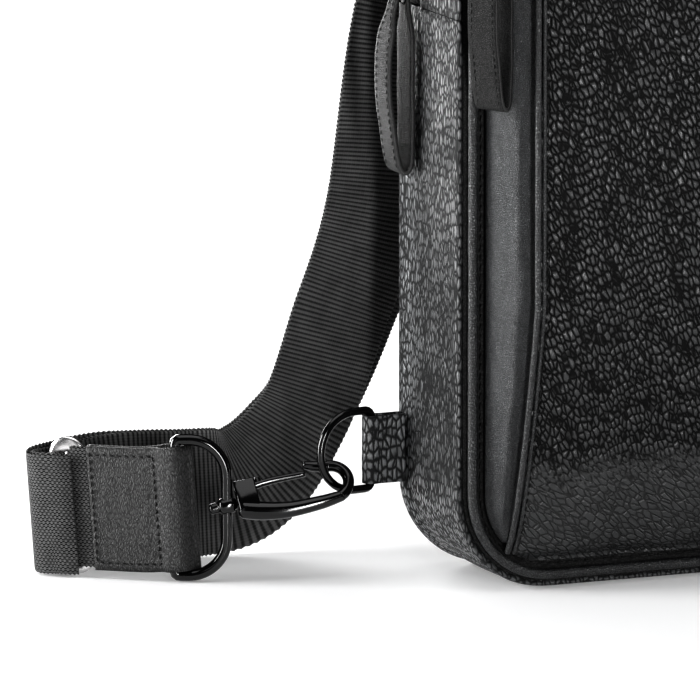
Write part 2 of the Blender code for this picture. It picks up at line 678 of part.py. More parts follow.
def make_adjuster():
    """Three-bar slider: a frame with round ends and a bar down its middle."""
    back = STRAP_TAB_WAY.cross(Z_AXIS)
    if back.y < 0:
        back = -back
    centre = STRAP_RING_BAR + STRAP_TAB_WAY * ADJUSTER_DISTANCE + back * ADJUSTER_BACK
    round_end = ADJUSTER_HALF_HEIGHT - ADJUSTER_HALF_WIDTH
    outline = (arc((0, round_end), ADJUSTER_HALF_WIDTH, 0, 180, 8)
               + arc((0, -round_end), ADJUSTER_HALF_WIDTH, 180, 360, 8))
    frame = [centre + STRAP_TAB_WAY * across + Z_AXIS * up for across, up in without_repeats(outline)]
    wire = tube("adjuster", frame, ADJUSTER_WIRE, "silver_metal", cyclic=True, sides=3)
    adjuster = as_mesh(wire, "silver_metal")
    ends = Z_AXIS * ADJUSTER_HALF_HEIGHT
    bar = tube("adjuster_bar", [centre - ends, centre + ends], ADJUSTER_WIRE * 0.9, None, sides=3)
    return combine(adjuster, as_mesh(bar, None), "UNION")


# ------------------------------------------------------------------ snap hook
def hook_axes():
    """Swivel point on the strap ring, the hook's length axis, its upward axis and its normal."""
    root = STRAP_RING_BAR + STRAP_RING_TURN * STRAP_RING_REACH + Z_AXIS * (0.6 * MM)
    turn = Vector((-math.cos(LEFT_RING_TURN), -math.sin(LEFT_RING_TURN), 0))
    middle = BAG_RING_REACH - BAG_RING_HALF
    bow = (Vector((-BAG_RING_BAR_X, TAB_Y, TAB_Z)) + turn * (middle + BAG_RING_HALF * math.cos(HOOKED_AT))
           - Z_AXIS * BAG_RING_HALF * math.sin(HOOKED_AT))
    length = (bow - root).length
    axis = (bow - root).normalized()
    up = (Z_AXIS - axis * axis.dot(Z_AXIS)).normalized()
    away = axis.cross(up) * -1
    raised = up * math.cos(HOOK_LEAN) + away * math.sin(HOOK_LEAN)
    return root, axis, raised, axis.cross(raised), length


def make_hook(ring):
    """The swivelling snap hook.  Distances along, up and out are millimetres in the hook's own frame."""
    root, axis, raised, normal, length = hook_axes()

    def at(along, up, out=0.0):
        return root + axis * (along * MM) + raised * (up * MM) + normal * (out * MM)

    axes = (axis, raised, normal)
    make_ring_boss(ring, at(0, 0), axis)
    bow_at = length / MM
    make_hook_body(at, axes, bow_at)
    pin = cylinder("hook_swivel_pin", at(0.8, 0), axis, SWIVEL_PIN, 9.4 * MM, "black_metal")
    head = cylinder("swivel_head", at(-3.6, 0), axis, 1.7 * MM, 2 * MM, None)
    combine(pin, head, "UNION")
    cylinder("gate_pin", at(*GATE_PIVOT), normal, GATE_PIN, 4.8 * MM, "black_metal")
    make_gate(at, axes, bow_at)


def make_ring_boss(ring, centre, axis):
    """The boss on the strap's D-ring that the hook's swivel pin turns in."""
    collar = cylinder("ring_collar", centre, axis, 2.5 * MM, 4.4 * MM, None)
    bore = cylinder("ring_bore", centre, axis, SWIVEL_PIN + 0.25 * MM, 12 * MM, None)
    combine(ring, collar, "UNION")
    combine(ring, bore, "DIFFERENCE")


def make_hook_body(at, axes, bow_at):
    """The hook's spine, bow and tip, with the block at its base that carries gate and swivel."""
    axis, raised, normal = axes
    bow = HOOK_BOW / MM
    arch = [(bow_at + across, up - 0.3) for across, up in arc((0, 0), bow, -75, 90, 11)]
    spine = [(4.4, -2.4), (9, -4.0), (14, -5.2), (19, -5.8), (bow_at - 4, -5.8)]
    tip = [(bow_at - 3.2, 5.7), (bow_at - 6.0, 6.8)]
    radii = [3.1, 2.9, 2.6, 2.4, 2.1] + [1.65] * len(arch) + [1.6, 1.2]
    points = [at(*point) for point in spine + arch + tip]
    body = as_mesh(tube("hook_body", points, MM, "black_metal", sides=3, radii=radii), "black_metal")
    base = block("hook_base", at(6.4, 1.2), (6.2 * MM, 9.6 * MM, 5 * MM), axes, None, 1.2 * MM)
    combine(body, base, "UNION")
    slot = block("hook_slot", at(7.6, 5.2), (9 * MM, 7.8 * MM, 2.6 * MM), axes, None)
    combine(body, slot, "DIFFERENCE")
    pin_hole = cylinder("hook_pin_hole", at(*GATE_PIVOT), normal, GATE_PIN + 0.15 * MM, 8 * MM, None)
    combine(body, pin_hole, "DIFFERENCE")
    swivel_hole = cylinder("hook_swivel_hole", at(4, 0), axis, SWIVEL_PIN + 0.2 * MM, 4 * MM, None)
    combine(body, swivel_hole, "DIFFERENCE")


def make_gate(at, axes, bow_at):
    """The sprung gate with its eye and thumb nub, and the coil spring beside the eye."""
    axis, raised, normal = axes
    line = [(7.9, 4.0), (10, 4.2), (15, 4.5), (bow_at - 6.9, 4.2)]
    wire = tube("hook_gate", [at(*point) for point in line], MM, "black_metal", radii=[1.1, 1.15, 1.1, 0.95])
    gate = as_mesh(wire, "black_metal")
    eye = cylinder("gate_eye", at(*GATE_PIVOT, -0.5), normal, 1.9 * MM, 1.3 * MM, None)
    combine(gate, eye, "UNION")
    thumb = cylinder("gate_thumb", at(10.4, 5.2), raised, 1.1 * MM, 1.8 * MM, None)
    combine(gate, thumb, "UNION")
    bore = cylinder("gate_bore", at(*GATE_PIVOT), normal, GATE_PIN + 0.25 * MM, 8 * MM, None)
    combine(gate, bore, "DIFFERENCE")
    along, up = GATE_PIVOT
    coil = []
    for i in range(SPRING_TURNS * SPRING_STEPS + 1):
        turns = i / SPRING_STEPS
        across = SPRING_RADIUS * math.cos(2 * math.pi * turns)
        rise = SPRING_RADIUS * math.sin(2 * math.pi * turns)
        coil.append(at(along + across, up + rise, 0.38 + SPRING_PITCH * turns))
    tube("gate_spring", coil, 0.12 * MM, "spring_steel", sides=1)


# ------------------------------------------------------------------ strap anchor on the bag's top
def make_anchor():
    """Leather tab folded round a flat rectangular ring that the strap passes through."""
    bar = Vector((0, MAIN_ZIP_Y + 8.2 * MM, HEIGHT + ANCHOR_RISE))
    side = WEB_WIDTH / 2 + 3 * MM
    inner = side - ANCHOR_CORNER
    low, high = ANCHOR_CORNER, ANCHOR_RING_HEIGHT - ANCHOR_CORNER
    ring = [(-side, low), (-inner, 0), (inner, 0), (side, low),
            (side, high), (inner, ANCHOR_RING_HEIGHT), (-inner, ANCHOR_RING_HEIGHT), (-side, high)]
    points = [Vector((x, 0, z)) for x, z in ring]
    loop = tube("anchor_ring", points, ANCHOR_WIRE, "black_metal", cyclic=True, sides=3)
    loop.location = bar
    fold = ANCHOR_WIRE + GAP + TAB_LEATHER / 2
    foot = GAP - ANCHOR_RISE
    profile = [(foot, fold * 0.7), (-4 * MM, fold * 0.9)] + arc((0, 0), fold, 90, -90, 8)
    profile += [(-4 * MM, -fold * 0.9), (foot, -fold * 0.7)]
    rows = []
    for up, across in profile:
        middle = bar + Vector((0, across, up))
        rows.append([middle - Vector((WEB_WIDTH / 2, 0, 0)), middle + Vector((WEB_WIDTH / 2, 0, 0))])
    sheet("strap_anchor", rows, TAB_LEATHER, "pebbled_leather", side=0)


make_body()
make_lining()
make_pocket()
make_ring_tabs()
make_zip_sliders()
make_hook(make_strap())
make_anchor()
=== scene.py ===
"""Black leather sling bag, its webbing strap clipped to a lower side ring.

Lengths are in metres, and the names in capitals hold the sizes.  The bag stands on a pale floor, +Z up,
with its front pocket towards -Y.
"""
import math

import bmesh
import bpy
from mathutils import Matrix, Vector, noise


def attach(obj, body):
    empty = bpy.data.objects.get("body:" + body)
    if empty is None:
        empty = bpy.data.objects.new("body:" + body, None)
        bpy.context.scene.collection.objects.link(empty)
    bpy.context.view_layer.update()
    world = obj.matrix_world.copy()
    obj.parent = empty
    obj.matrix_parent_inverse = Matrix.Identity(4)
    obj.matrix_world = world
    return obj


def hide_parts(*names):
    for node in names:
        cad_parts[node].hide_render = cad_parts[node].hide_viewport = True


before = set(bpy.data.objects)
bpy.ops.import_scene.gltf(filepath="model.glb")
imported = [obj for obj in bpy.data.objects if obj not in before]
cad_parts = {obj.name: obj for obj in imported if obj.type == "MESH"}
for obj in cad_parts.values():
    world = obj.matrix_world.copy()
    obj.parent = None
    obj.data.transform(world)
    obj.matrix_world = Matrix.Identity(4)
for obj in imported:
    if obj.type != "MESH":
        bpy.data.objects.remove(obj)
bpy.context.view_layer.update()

MM = 0.001
GAP = 0.3 * MM
X_AXIS, Y_AXIS, Z_AXIS = Vector((1, 0, 0)), Vector((0, 1, 0)), Vector((0, 0, 1))

# ---- bag body
WIDTH = 190 * MM
HEIGHT = 310 * MM
HALF_DEPTH = 21.5 * MM
BOTTOM_RADIUS = 29 * MM
TOP_RADIUS = 50 * MM
GUSSET_LEATHER = 1.3 * MM
PIPING_RADIUS = 1.5 * MM
PIPING_INSET = 4.2 * MM
OUTLINE_STEP = 2.5 * MM
BACK_INSET = 6.3 * MM

# ---- main zip
MAIN_ZIP_START = 168 * MM
MAIN_ZIP_Y = 11 * MM
ZIP_TAPE = 9 * MM
TOOTH_PITCH = 1.5 * MM

# ---- front pocket
POCKET_BOTTOM = 14.8 * MM
POCKET_EDGE_INSET = 7.9 * MM
POCKET_TRIM_INSET = 18 * MM
POCKET_TRIM_FOOT = 14 * MM
POCKET_ROOT_Y = -23.5 * MM
POCKET_DEPTH = 16.5 * MM
POCKET_CROWN = 4 * MM
POCKET_RISE = 75.6 * MM
POCKET_SEAM = 9.4 * MM
POCKET_FRONT_INSET = 7.4 * MM
STRIP_BULGE = 1.5 * MM
STRIP_WIDTH = 20 * MM
CREASES_BEGIN = 44 * MM           # the front's pebbles give way to creases below this height
CREASES_FULL = 26 * MM
POCKET_ZIP_START = 192 * MM
POCKET_ZIP_CENTRE = 0.36
TRIM_CLEAR = 1.9 * MM
SEAM_INSET = 2.4 * MM

# ---- ring tabs and rings
TAB_Y = 17 * MM
TAB_Z = 37 * MM
TAB_HEIGHT = 20 * MM
TAB_LEATHER = 1.2 * MM
BAG_RING_WIRE = 1.2 * MM
BAG_RING_BAR_X = 105.3 * MM
BAG_RING_HALF = 11.55 * MM
BAG_RING_REACH = 17.5 * MM
LEFT_RING_TURN = math.radians(10)
HOOKED_AT = math.radians(45)

# ---- zip sliders and pulls
SLIDER_SIZE = (8 * MM, 11 * MM)
SLIDER_LIFT = 2.35 * MM
PULL_HINGE_LIFT = 4.75 * MM
BAIL_HALF = 3.6 * MM
BAIL_DROP = 8.7 * MM
BAIL_WIRE = 0.6 * MM
PULL_LEATHER = 1.2 * MM
POCKET_HINGE = Vector((-88.38, -31.73, 202)) * MM
POCKET_PULL_AXIS = Vector((-0.47885, 0.8779, 0))
PULL_TOP_HALF = 2.6 * MM
PULL_HALF = 5 * MM

# ---- shoulder strap
WEB_WIDTH = 38 * MM
WEB_THICK = 1.3 * MM
WEB_PITCH = 1.3 * MM              # one cross rib of the weave
WEB_THREAD = 0.85 * MM            # one warp thread across the webbing
WEAVE_SHIFT = 1.0                 # set off from the ribbed face's weave coordinates to the brick face's
LAYER_OFFSET = 0.76 * MM
LAYER_SLIP = 4.5 * MM             # the rear layer lies this far to the left of the front one
STRAP_TAB_LEATHER = 1.3 * MM
STRAP_TAB_WIDTH = 36.5 * MM
STRAP_TAB_LENGTH = 25 * MM
STRAP_TAB_WAY = Vector((-0.789, 0.614, 0))
STRAP_RING_WIRE = 1.65 * MM
STRAP_RING_HALF = 20.05 * MM
STRAP_RING_REACH = 15 * MM
STRAP_RING_BAR = Vector((-162.2, 28.7, 21.85)) * MM
STRAP_RING_TURN = Vector((0.918, -0.397, 0))
STRAP_END_LEAN = 0.075            # the strap's end leans: this share of its height, away from the ring
STRAP_END_SAG = 1.1 * MM
UTURN_SAG = 3.2 * MM
UTURN_SQUEEZE = 0.07              # the webbing narrows by this share where it turns back
ADJUSTER_DISTANCE = 31.6 * MM
ADJUSTER_BACK = 2.2 * MM
ADJUSTER_WIRE = 1.3 * MM
ADJUSTER_HALF_WIDTH = 4.4 * MM
ADJUSTER_HALF_HEIGHT = 20.4 * MM

# ---- snap hook, in millimetres along, up and out of the hook
HOOK_LEAN = math.radians(36)
HOOK_BOW = 5.2
SWIVEL_PIN = 0.9
GATE_PIVOT = (6.4, 3.6)

# ---- strap anchor
ANCHOR_RISE = 9 * MM
ANCHOR_WIRE = 1.6 * MM
ANCHOR_RING_HEIGHT = 12 * MM
CREST_FOOT = Vector((0, 19.2, 338)) * MM
CREST_START = 8 * MM
CREST_RADIUS = 19.2 * MM
CREST_LEAN = math.radians(10)

# ---- lights: azimuth and elevation in degrees; distance, width and height in metres; power in watts
LIT_POINT = Vector((-60, 0, 110)) * MM
LIGHTS = (
    ("left_box", -107, 2, 1.2, 0.56, 1.1, 31),
    ("rim_box", -176, 2, 1.2, 0.70, 1.1, 28),
    ("key_box", -50, 6, 1.5, 0.30, 1.1, 0.8),
    ("front_strip", -10, -4, 1.5, 0.16, 1.2, 20),
    ("right_strip", 52, -4, 1.4, 0.20, 1.2, 9),
    ("overhead", 0, 86, 1.4, 1.6, 1.4, 10.5),
)

# ---- camera
CAMERA_LENS = 714                 # mm
CAMERA_SENSOR = 36                # mm
CAMERA_TARGET = Vector((-123.5, -9.7, 72)) * MM
CAMERA_AZIMUTH = -23.4            # degrees
CAMERA_ELEVATION = 10.4           # degrees
CAMERA_DISTANCE = 4.0             # metres


# ------------------------------------------------------------------ paths
def arc(centre, radius, start, end, steps):
    angles = [math.radians(start + (end - start) * i / steps) for i in range(steps + 1)]
    return [(centre[0] + radius * math.cos(a), centre[1] + radius * math.sin(a)) for a in angles]


def smooth_route(stations, steps, closed=False):
    """Points of a Catmull-Rom curve through the stations."""
    if closed:
        padded = [stations[-1]] + stations + stations[:2]
    else:
        padded = [stations[0]] + stations + [stations[-1]]
    points = []
    for i in range(1, len(padded) - 2):
        a, b, c, d = padded[i - 1:i + 3]
        for step in range(steps):
            t = step / steps
            points.append((b * 2 + (c - a) * t + (a * 2 - b * 5 + c * 4 - d) * t * t
                           + (b * 3 - a - c * 3 + d) * t ** 3) / 2)
    return points if closed else points + [stations[-1]]


def lengths_along(points):
    """Distance along the line to each of its points."""
    lengths = [0.0]
    for a, b in zip(points, points[1:]):
        lengths.append(lengths[-1] + (b - a).length)
    return lengths


def places_along(lengths, count):
    """(index, share of the way to the next point) of count places at even distances."""
    places, k = [], 0
    for i in range(count):
        target = lengths[-1] * i / (count - 1)
        while k < len(lengths) - 2 and lengths[k + 1] < target:
            k += 1
        span = lengths[k + 1] - lengths[k]
        places.append((k, (target - lengths[k]) / span if span else 0.0))
    return places


def ways_along(ways, lengths, count):
    """Unit directions, known at each length, at count even distances."""
    return [ways[k].lerp(ways[k + 1], share).normalized() for k, share in places_along(lengths, count)]


def evenly(points, step):
    """The same line with points at even distances."""
    lengths = lengths_along(points)
    count = max(2, round(lengths[-1] / step) + 1)
    return [points[k].lerp(points[k + 1], share) for k, share in places_along(lengths, count)]


def directions(points, closed=False):
    """Unit direction of travel at each point."""
    count = len(points)
    ways = []
    for i in range(count):
        before = points[(i - 1) % count if closed else max(i - 1, 0)]
        after = points[(i + 1) % count if closed else min(i + 1, count - 1)]
        ways.append((after - before).normalized())
    return ways


def ripple(point, size, seed=0.0):
    """Smooth noise between about -1 and 1 whose bumps are size across."""
    return noise.noise(point / size + Vector((seed, seed * 1.7, -seed)))


def fade(value, start, end):
    """0 before start, 1 after end, smooth between."""
    t = min(1.0, max(0.0, (value - start) / (end - start)))
    return t * t * (3 - 2 * t)


# ------------------------------------------------------------------ mesh makers
def link(name, data, material):
    obj = bpy.data.objects.new(name, data)
    bpy.context.scene.collection.objects.link(obj)
    if material:
        obj.data.materials.append(material)
    return obj


def grid(name, rows, material, closed=False, round_rows=False, weave=None):
    """A mesh over rows of points.  closed joins the last row to the first; round_rows closes each row."""
    count = len(rows[0])
    faces = []
    for i in range(len(rows) if closed else len(rows) - 1):
        a = i * count
        b = ((i + 1) % len(rows)) * count
        for j in range(count if round_rows else count - 1):
            k = (j + 1) % count
            faces.append((a + j, a + k, b + k, b + j))
    mesh = bpy.data.meshes.new(name)
    mesh.from_pydata([point for row in rows for point in row], [], faces)
    if weave:
        flat = [pair for row in weave for pair in row]
        layer = mesh.uv_layers.new(name="weave")
        for loop in mesh.loops:
            layer.data[loop.index].uv = flat[loop.vertex_index]
    mesh.shade_smooth()
    return link(name, mesh, material)


def thicken(obj, thickness, side=-1.0, rim=None):
    """Give a surface its thickness; rim is the material of its cut edges."""
    solid = obj.modifiers.new("Thickness", "SOLIDIFY")
    solid.thickness = thickness
    solid.offset = side
    if rim:
        obj.data.materials.append(rim)
        solid.material_offset_rim = 1
    return obj


def frame_along(points, closed=False):
    """Side and up directions at each point that turn as little as they can along the line."""
    ways = directions(points, closed)
    side = ways[0].orthogonal().normalized()
    sides = []
    for way in ways:
        side = (side - way * side.dot(way)).normalized()
        sides.append(side)
    if closed:
        last = (sides[-1] - ways[0] * sides[-1].dot(ways[0])).normalized()
        twist = math.atan2(last.cross(sides[0]).dot(ways[0]), last.dot(sides[0]))
        for i, way in enumerate(ways):
            sides[i] = Matrix.Rotation(twist * i / len(ways), 3, way) @ sides[i]
    return ways, sides, [way.cross(side) for way, side in zip(ways, sides)]


def tube_rows(points, radius, sides=16, closed=False, radii=None):
    """Rings of points round a line; radii scale radius along it, and its ends close to a point."""
    ways, across, up = frame_along(points, closed)
    rows = []
    for i, point in enumerate(points):
        size = radius * (radii[i] if radii else 1.0)
        rows.append([point + (across[i] * math.cos(2 * math.pi * j / sides)
                              + up[i] * math.sin(2 * math.pi * j / sides)) * size for j in range(sides)])
    if not closed:
        for end, row in ((0, rows[0]), (-1, rows[-1])):
            out = ways[end] * (-1 if end == 0 else 1)
            centre = points[end]
            rounded = [[centre + (p - centre) * share + out * radius * (radii[end] if radii else 1) * lift
                        for p in row] for share, lift in ((0.85, 0.3), (0.5, 0.48), (0.02, 0.55))]
            rows = rounded[::-1] + rows if end == 0 else rows + rounded
    return rows


def tube(name, points, radius, material, closed=False, sides=16, radii=None):
    return grid(name, tube_rows(points, radius, sides, closed, radii), material, closed, round_rows=True)


def merge(name, pieces):
    """Join several mesh objects into the first and name it."""
    keep = pieces[0]
    joined = bmesh.new()
    for piece in pieces:
        joined.from_mesh(piece.data)
        if piece is not keep:
            bpy.data.objects.remove(piece)
    joined.to_mesh(keep.data)
    joined.free()
    keep.name = name
    return keep


def rounded_box(name, size, matrix, material, bevel, segments=3):
    """A box with rounded edges whose sides lie along the matrix's axes."""
    shape = bmesh.new()
    bmesh.ops.create_cube(shape, size=1)
    for vertex in shape.verts:
        vertex.co = Vector(vertex.co[i] * size[i] for i in range(3))
    bmesh.ops.bevel(shape, geom=shape.edges[:], offset=bevel, segments=segments, profile=0.5, affect="EDGES")
    shape.transform(matrix)
    mesh = bpy.data.meshes.new(name)
    shape.to_mesh(mesh)
    shape.free()
    mesh.shade_smooth()
    mesh.set_sharp_from_angle(angle=math.radians(50))
    return link(name, mesh, material)


def placed(centre, across, along, out):
    """Matrix whose axes are across, along and out, at centre."""
    turn = Matrix((across, along, out)).transposed().to_4x4()
    return Matrix.Translation(centre) @ turn


def stitch_line(name, line, outs, material, length=2.1 * MM, spacing=2.9 * MM, radius=0.24 * MM, slant=0.12):
    """A row of sewn stitches lying on the line; outs point out of the surface."""
    verts, faces = [], []
    middles = evenly(line, spacing)
    ways = directions(middles)
    step = (len(line) - 1) / max(1, len(middles) - 1)
    for i, (middle, way) in enumerate(zip(middles, ways)):
        out = outs[min(len(outs) - 1, round(i * step))].normalized()
        side = way.cross(out).normalized()
        way = (way + side * slant).normalized()
        base = len(verts)
        rings = ((-0.5, 0.25, -1.1), (-0.36, 0.85, 0.0), (0, 1.0, 0.55), (0.36, 0.85, 0.0), (0.5, 0.25, -1.1))
        for along, size, lift in rings:
            centre = middle + way * (along * length) + out * (lift * radius)
            for j in range(6):
                a = math.pi * j / 3
                verts.append(centre + (side * math.cos(a) + out * math.sin(a)) * radius * size)
        for ring in range(4):
            for j in range(6):
                k = (j + 1) % 6
                a = base + ring * 6
                faces.append((a + j, a + k, a + 6 + k, a + 6 + j))
        faces.append(tuple(base + j for j in range(5, -1, -1)))
        faces.append(tuple(base + 24 + j for j in range(6)))
    mesh = bpy.data.meshes.new(name)
    mesh.from_pydata(verts, [], faces)
    mesh.shade_smooth()
    return link(name, mesh, material)


def part(obj, body, slot, *nodes):
    """Put a finished piece on its body and hide the CAD nodes it stands for; slot is not used."""
    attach(obj, body)
    if nodes:
        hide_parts(*nodes)
    return obj


# ------------------------------------------------------------------ materials
class Look:
    """A Principled material built one node at a time."""

    def __init__(self, name, **sockets):
        self.material = bpy.data.materials.new(name)
        self.material.use_nodes = True
        self.tree = self.material.node_tree
        self.shader = self.tree.nodes["Principled BSDF"]
        for key, value in sockets.items():
            self.shader.inputs[key.replace("_", " ")].default_value = value

    def add(self, kind, inputs=None, **settings):
        node = self.tree.nodes.new(kind)
        for key, value in settings.items():
            setattr(node, key, value)
        for key, value in (inputs or {}).items():
            if isinstance(value, bpy.types.NodeSocket):
                self.tree.links.new(value, node.inputs[key])
            else:
                node.inputs[key].default_value = value
        return node

    def put(self, name, socket):
        self.tree.links.new(socket, self.shader.inputs[name])

    def place(self, scale=(1, 1, 1), turn=(0, 0, 0)):
        """The piece's own coordinates in metres, stretched and turned."""
        where = self.add("ShaderNodeTexCoord").outputs["Object"]
        values = {"Vector": where, "Scale": tuple(1 / share for share in scale), "Rotation": turn}
        return self.add("ShaderNodeMapping", values, vector_type="TEXTURE").outputs[0]

    def weave_place(self):
        return self.add("ShaderNodeUVMap", uv_map="weave").outputs["UV"]

    def noise(self, where, size, detail=3.0, rough=0.55):
        values = {"Vector": where, "Scale": 1 / size, "Detail": detail, "Roughness": rough}
        return self.add("ShaderNodeTexNoise", values).outputs["Fac"]

    def cells(self, where, size, feature="DISTANCE_TO_EDGE", random=1.0):
        values = {"Vector": where, "Scale": 1 / size, "Randomness": random}
        return self.add("ShaderNodeTexVoronoi", values, feature=feature).outputs["Distance"]

    def warp(self, where, size, amount):
        """where moved about by smooth noise."""
        values = {"Vector": where, "Scale": 1 / size, "Detail": 1.0}
        drift = self.add("ShaderNodeTexNoise", values).outputs["Color"]
        values = {0: drift, 1: (0.5, 0.5, 0.5)}
        centred = self.add("ShaderNodeVectorMath", values, operation="SUBTRACT").outputs[0]
        scaled = self.add("ShaderNodeVectorMath", {0: centred, "Scale": amount}, operation="SCALE").outputs[0]
        return self.add("ShaderNodeVectorMath", {0: where, 1: scaled}, operation="ADD").outputs[0]

    def math(self, operation, a, b=0.0, clamp=False):
        return self.add("ShaderNodeMath", {0: a, 1: b}, operation=operation, use_clamp=clamp).outputs[0]

    def fit(self, value, low, high, to_low=0.0, to_high=1.0):
        """value taken smoothly from the range low to high into the range to_low to to_high."""
        values = {"Value": value, "From Min": low, "From Max": high, "To Min": to_low, "To Max": to_high}
        return self.add("ShaderNodeMapRange", values, interpolation_type="SMOOTHSTEP").outputs["Result"]

    def blend(self, share, a, b):
        values = {0: share, 6: a, 7: b}
        return self.add("ShaderNodeMix", values, data_type="RGBA").outputs[2]

    def bump(self, height, distance, strength=1.0):
        values = {"Height": height, "Distance": distance, "Strength": strength}
        return self.add("ShaderNodeBump", values).outputs["Normal"]


def grey(level, tint=0.0):
    """A near-neutral colour; tint moves it towards blue."""
    return (level * (1 - tint), level, level * (1 + tint), 1)


def pebbled(name, cell, stretch=(1, 1, 1), turn=(0, 0, 0), depth=0.30 * MM, dark=0.002, light=0.014,
            gloss=0.28, creased=False, mottle_and_painted_light=None):
    """Full-grain leather: rounded pebbles between narrow valleys, painted darker in the valleys (painted
    shade) and lighter on the tops (painted highlight).

    creased draws them into creases low down; the last argument gives the (start, end) in y over which a
    painted highlight lightens the leather towards the back.
    """
    look = Look(name, Specular_IOR_Level=0.5)
    where = look.place(stretch, turn)
    bent = look.warp(where, cell * 2.6, cell * 0.6)
    edge = look.cells(bent, cell, random=0.72)
    rim = look.math("MULTIPLY", look.fit(edge, 0.0, 0.3), 0.45)
    tops = look.math("ADD", rim, look.math("MULTIPLY", edge, 1.3))
    small = look.fit(look.cells(bent, cell * 0.5), 0.0, 0.2)
    patch = look.fit(look.noise(where, cell * 5, 2.0), 0.45, 0.7)
    split = look.math("MULTIPLY", look.math("SUBTRACT", 1.0, small), look.math("MULTIPLY", patch, 0.3))
    mixed = look.math("SUBTRACT", tops, split, clamp=True)
    if creased:
        drawn = look.warp(look.place((1.2, 1, 0.5), (0, math.radians(-52), 0)), cell * 3, cell * 0.5)
        lines = look.fit(look.cells(drawn, cell * 0.9), 0.0, 0.2, 0.3, 0.8)
        uneven = look.warp(look.place(), 18 * MM, 16 * MM)
        height_up = look.add("ShaderNodeSeparateXYZ", {0: uneven}).outputs[2]
        share = look.fit(height_up, CREASES_BEGIN, CREASES_FULL)
        mixed = look.add("ShaderNodeMix", {0: share, 2: mixed, 3: lines}, data_type="FLOAT").outputs[0]
    pores = look.noise(where, cell * 0.14, 3.0, 0.6)
    height = look.math("ADD", mixed, look.math("MULTIPLY", pores, 0.09))
    look.put("Normal", look.bump(height, depth))
    # Painted light: the base colour follows the relief, with painted highlights on the pebble tops and
    # painted shade in the valleys and creases.
    painted_shade_tone = look.fit(mixed, 0.05, 0.9)
    # Painted highlight: the base colour lightens towards the back (+y), standing in for the lamps' sheen
    # along the gusset's back edge.
    if mottle_and_painted_light:
        deep = look.add("ShaderNodeSeparateXYZ", {0: look.warp(look.place(), 30 * MM, 5 * MM)}).outputs[1]
        painted_shade_tone = look.math("MULTIPLY", painted_shade_tone, look.fit(deep, mottle_and_painted_light[0], mottle_and_painted_light[1], 0.45, 1.0))
    look.put("Base Color", look.blend(painted_shade_tone, grey(dark, 0.02), grey(light, 0.03)))
    look.put("Specular IOR Level", look.fit(mixed, 0.0, 0.6, 0.15, 0.6))
    look.put("Roughness", look.fit(look.math("ADD", mixed, pores), 0.3, 1.5, gloss + 0.35, gloss))
    return look.material


def fine_leather(name, grain, dark=0.008, light=0.02, gloss=0.36, stretch=(1, 1, 1), depth=0.07 * MM,
                 crease=0.35, tint=0.04, shine=0.6):
    """Smooth leather with a fine grain and shallow creases."""
    look = Look(name, Specular_IOR_Level=0.55)
    where = look.place(stretch)
    bent = look.warp(where, grain * 3, grain)
    cells = look.fit(look.cells(bent, grain), 0.0, 0.3)
    folds = look.noise(look.place((stretch[0] * 3, stretch[1] * 3, stretch[2])), grain * 14, 4.0, 0.6)
    pores = look.noise(where, grain * 0.3, 2.0)
    height = look.math("ADD", look.math("MULTIPLY", cells, 0.6), look.math("MULTIPLY", pores, 0.35))
    height = look.math("ADD", height, look.math("MULTIPLY", folds, crease * 6))
    look.put("Normal", look.bump(height, depth))
    # Base colour: random speckle from the pores, and painted shade darkening the grain's cell edges and the
    # hollows of the folds.
    mottle_and_painted_light = look.math("MULTIPLY", look.fit(pores, 0.35, 0.65, 0.4, 1.0), look.fit(cells, 0.0, 0.8, 0.2, 1.0))
    mottle_and_painted_light = look.math("MULTIPLY", mottle_and_painted_light, look.fit(folds, 0.3, 0.65, 0.6, 1.0))
    look.put("Base Color", look.blend(mottle_and_painted_light, grey(dark, tint), grey(light, tint)))
    look.put("Specular IOR Level", look.fit(cells, 0.0, 0.7, shine * 0.7, shine))
    look.put("Roughness", look.fit(cells, 0, 1, gloss + 0.16, gloss))
    return look.material


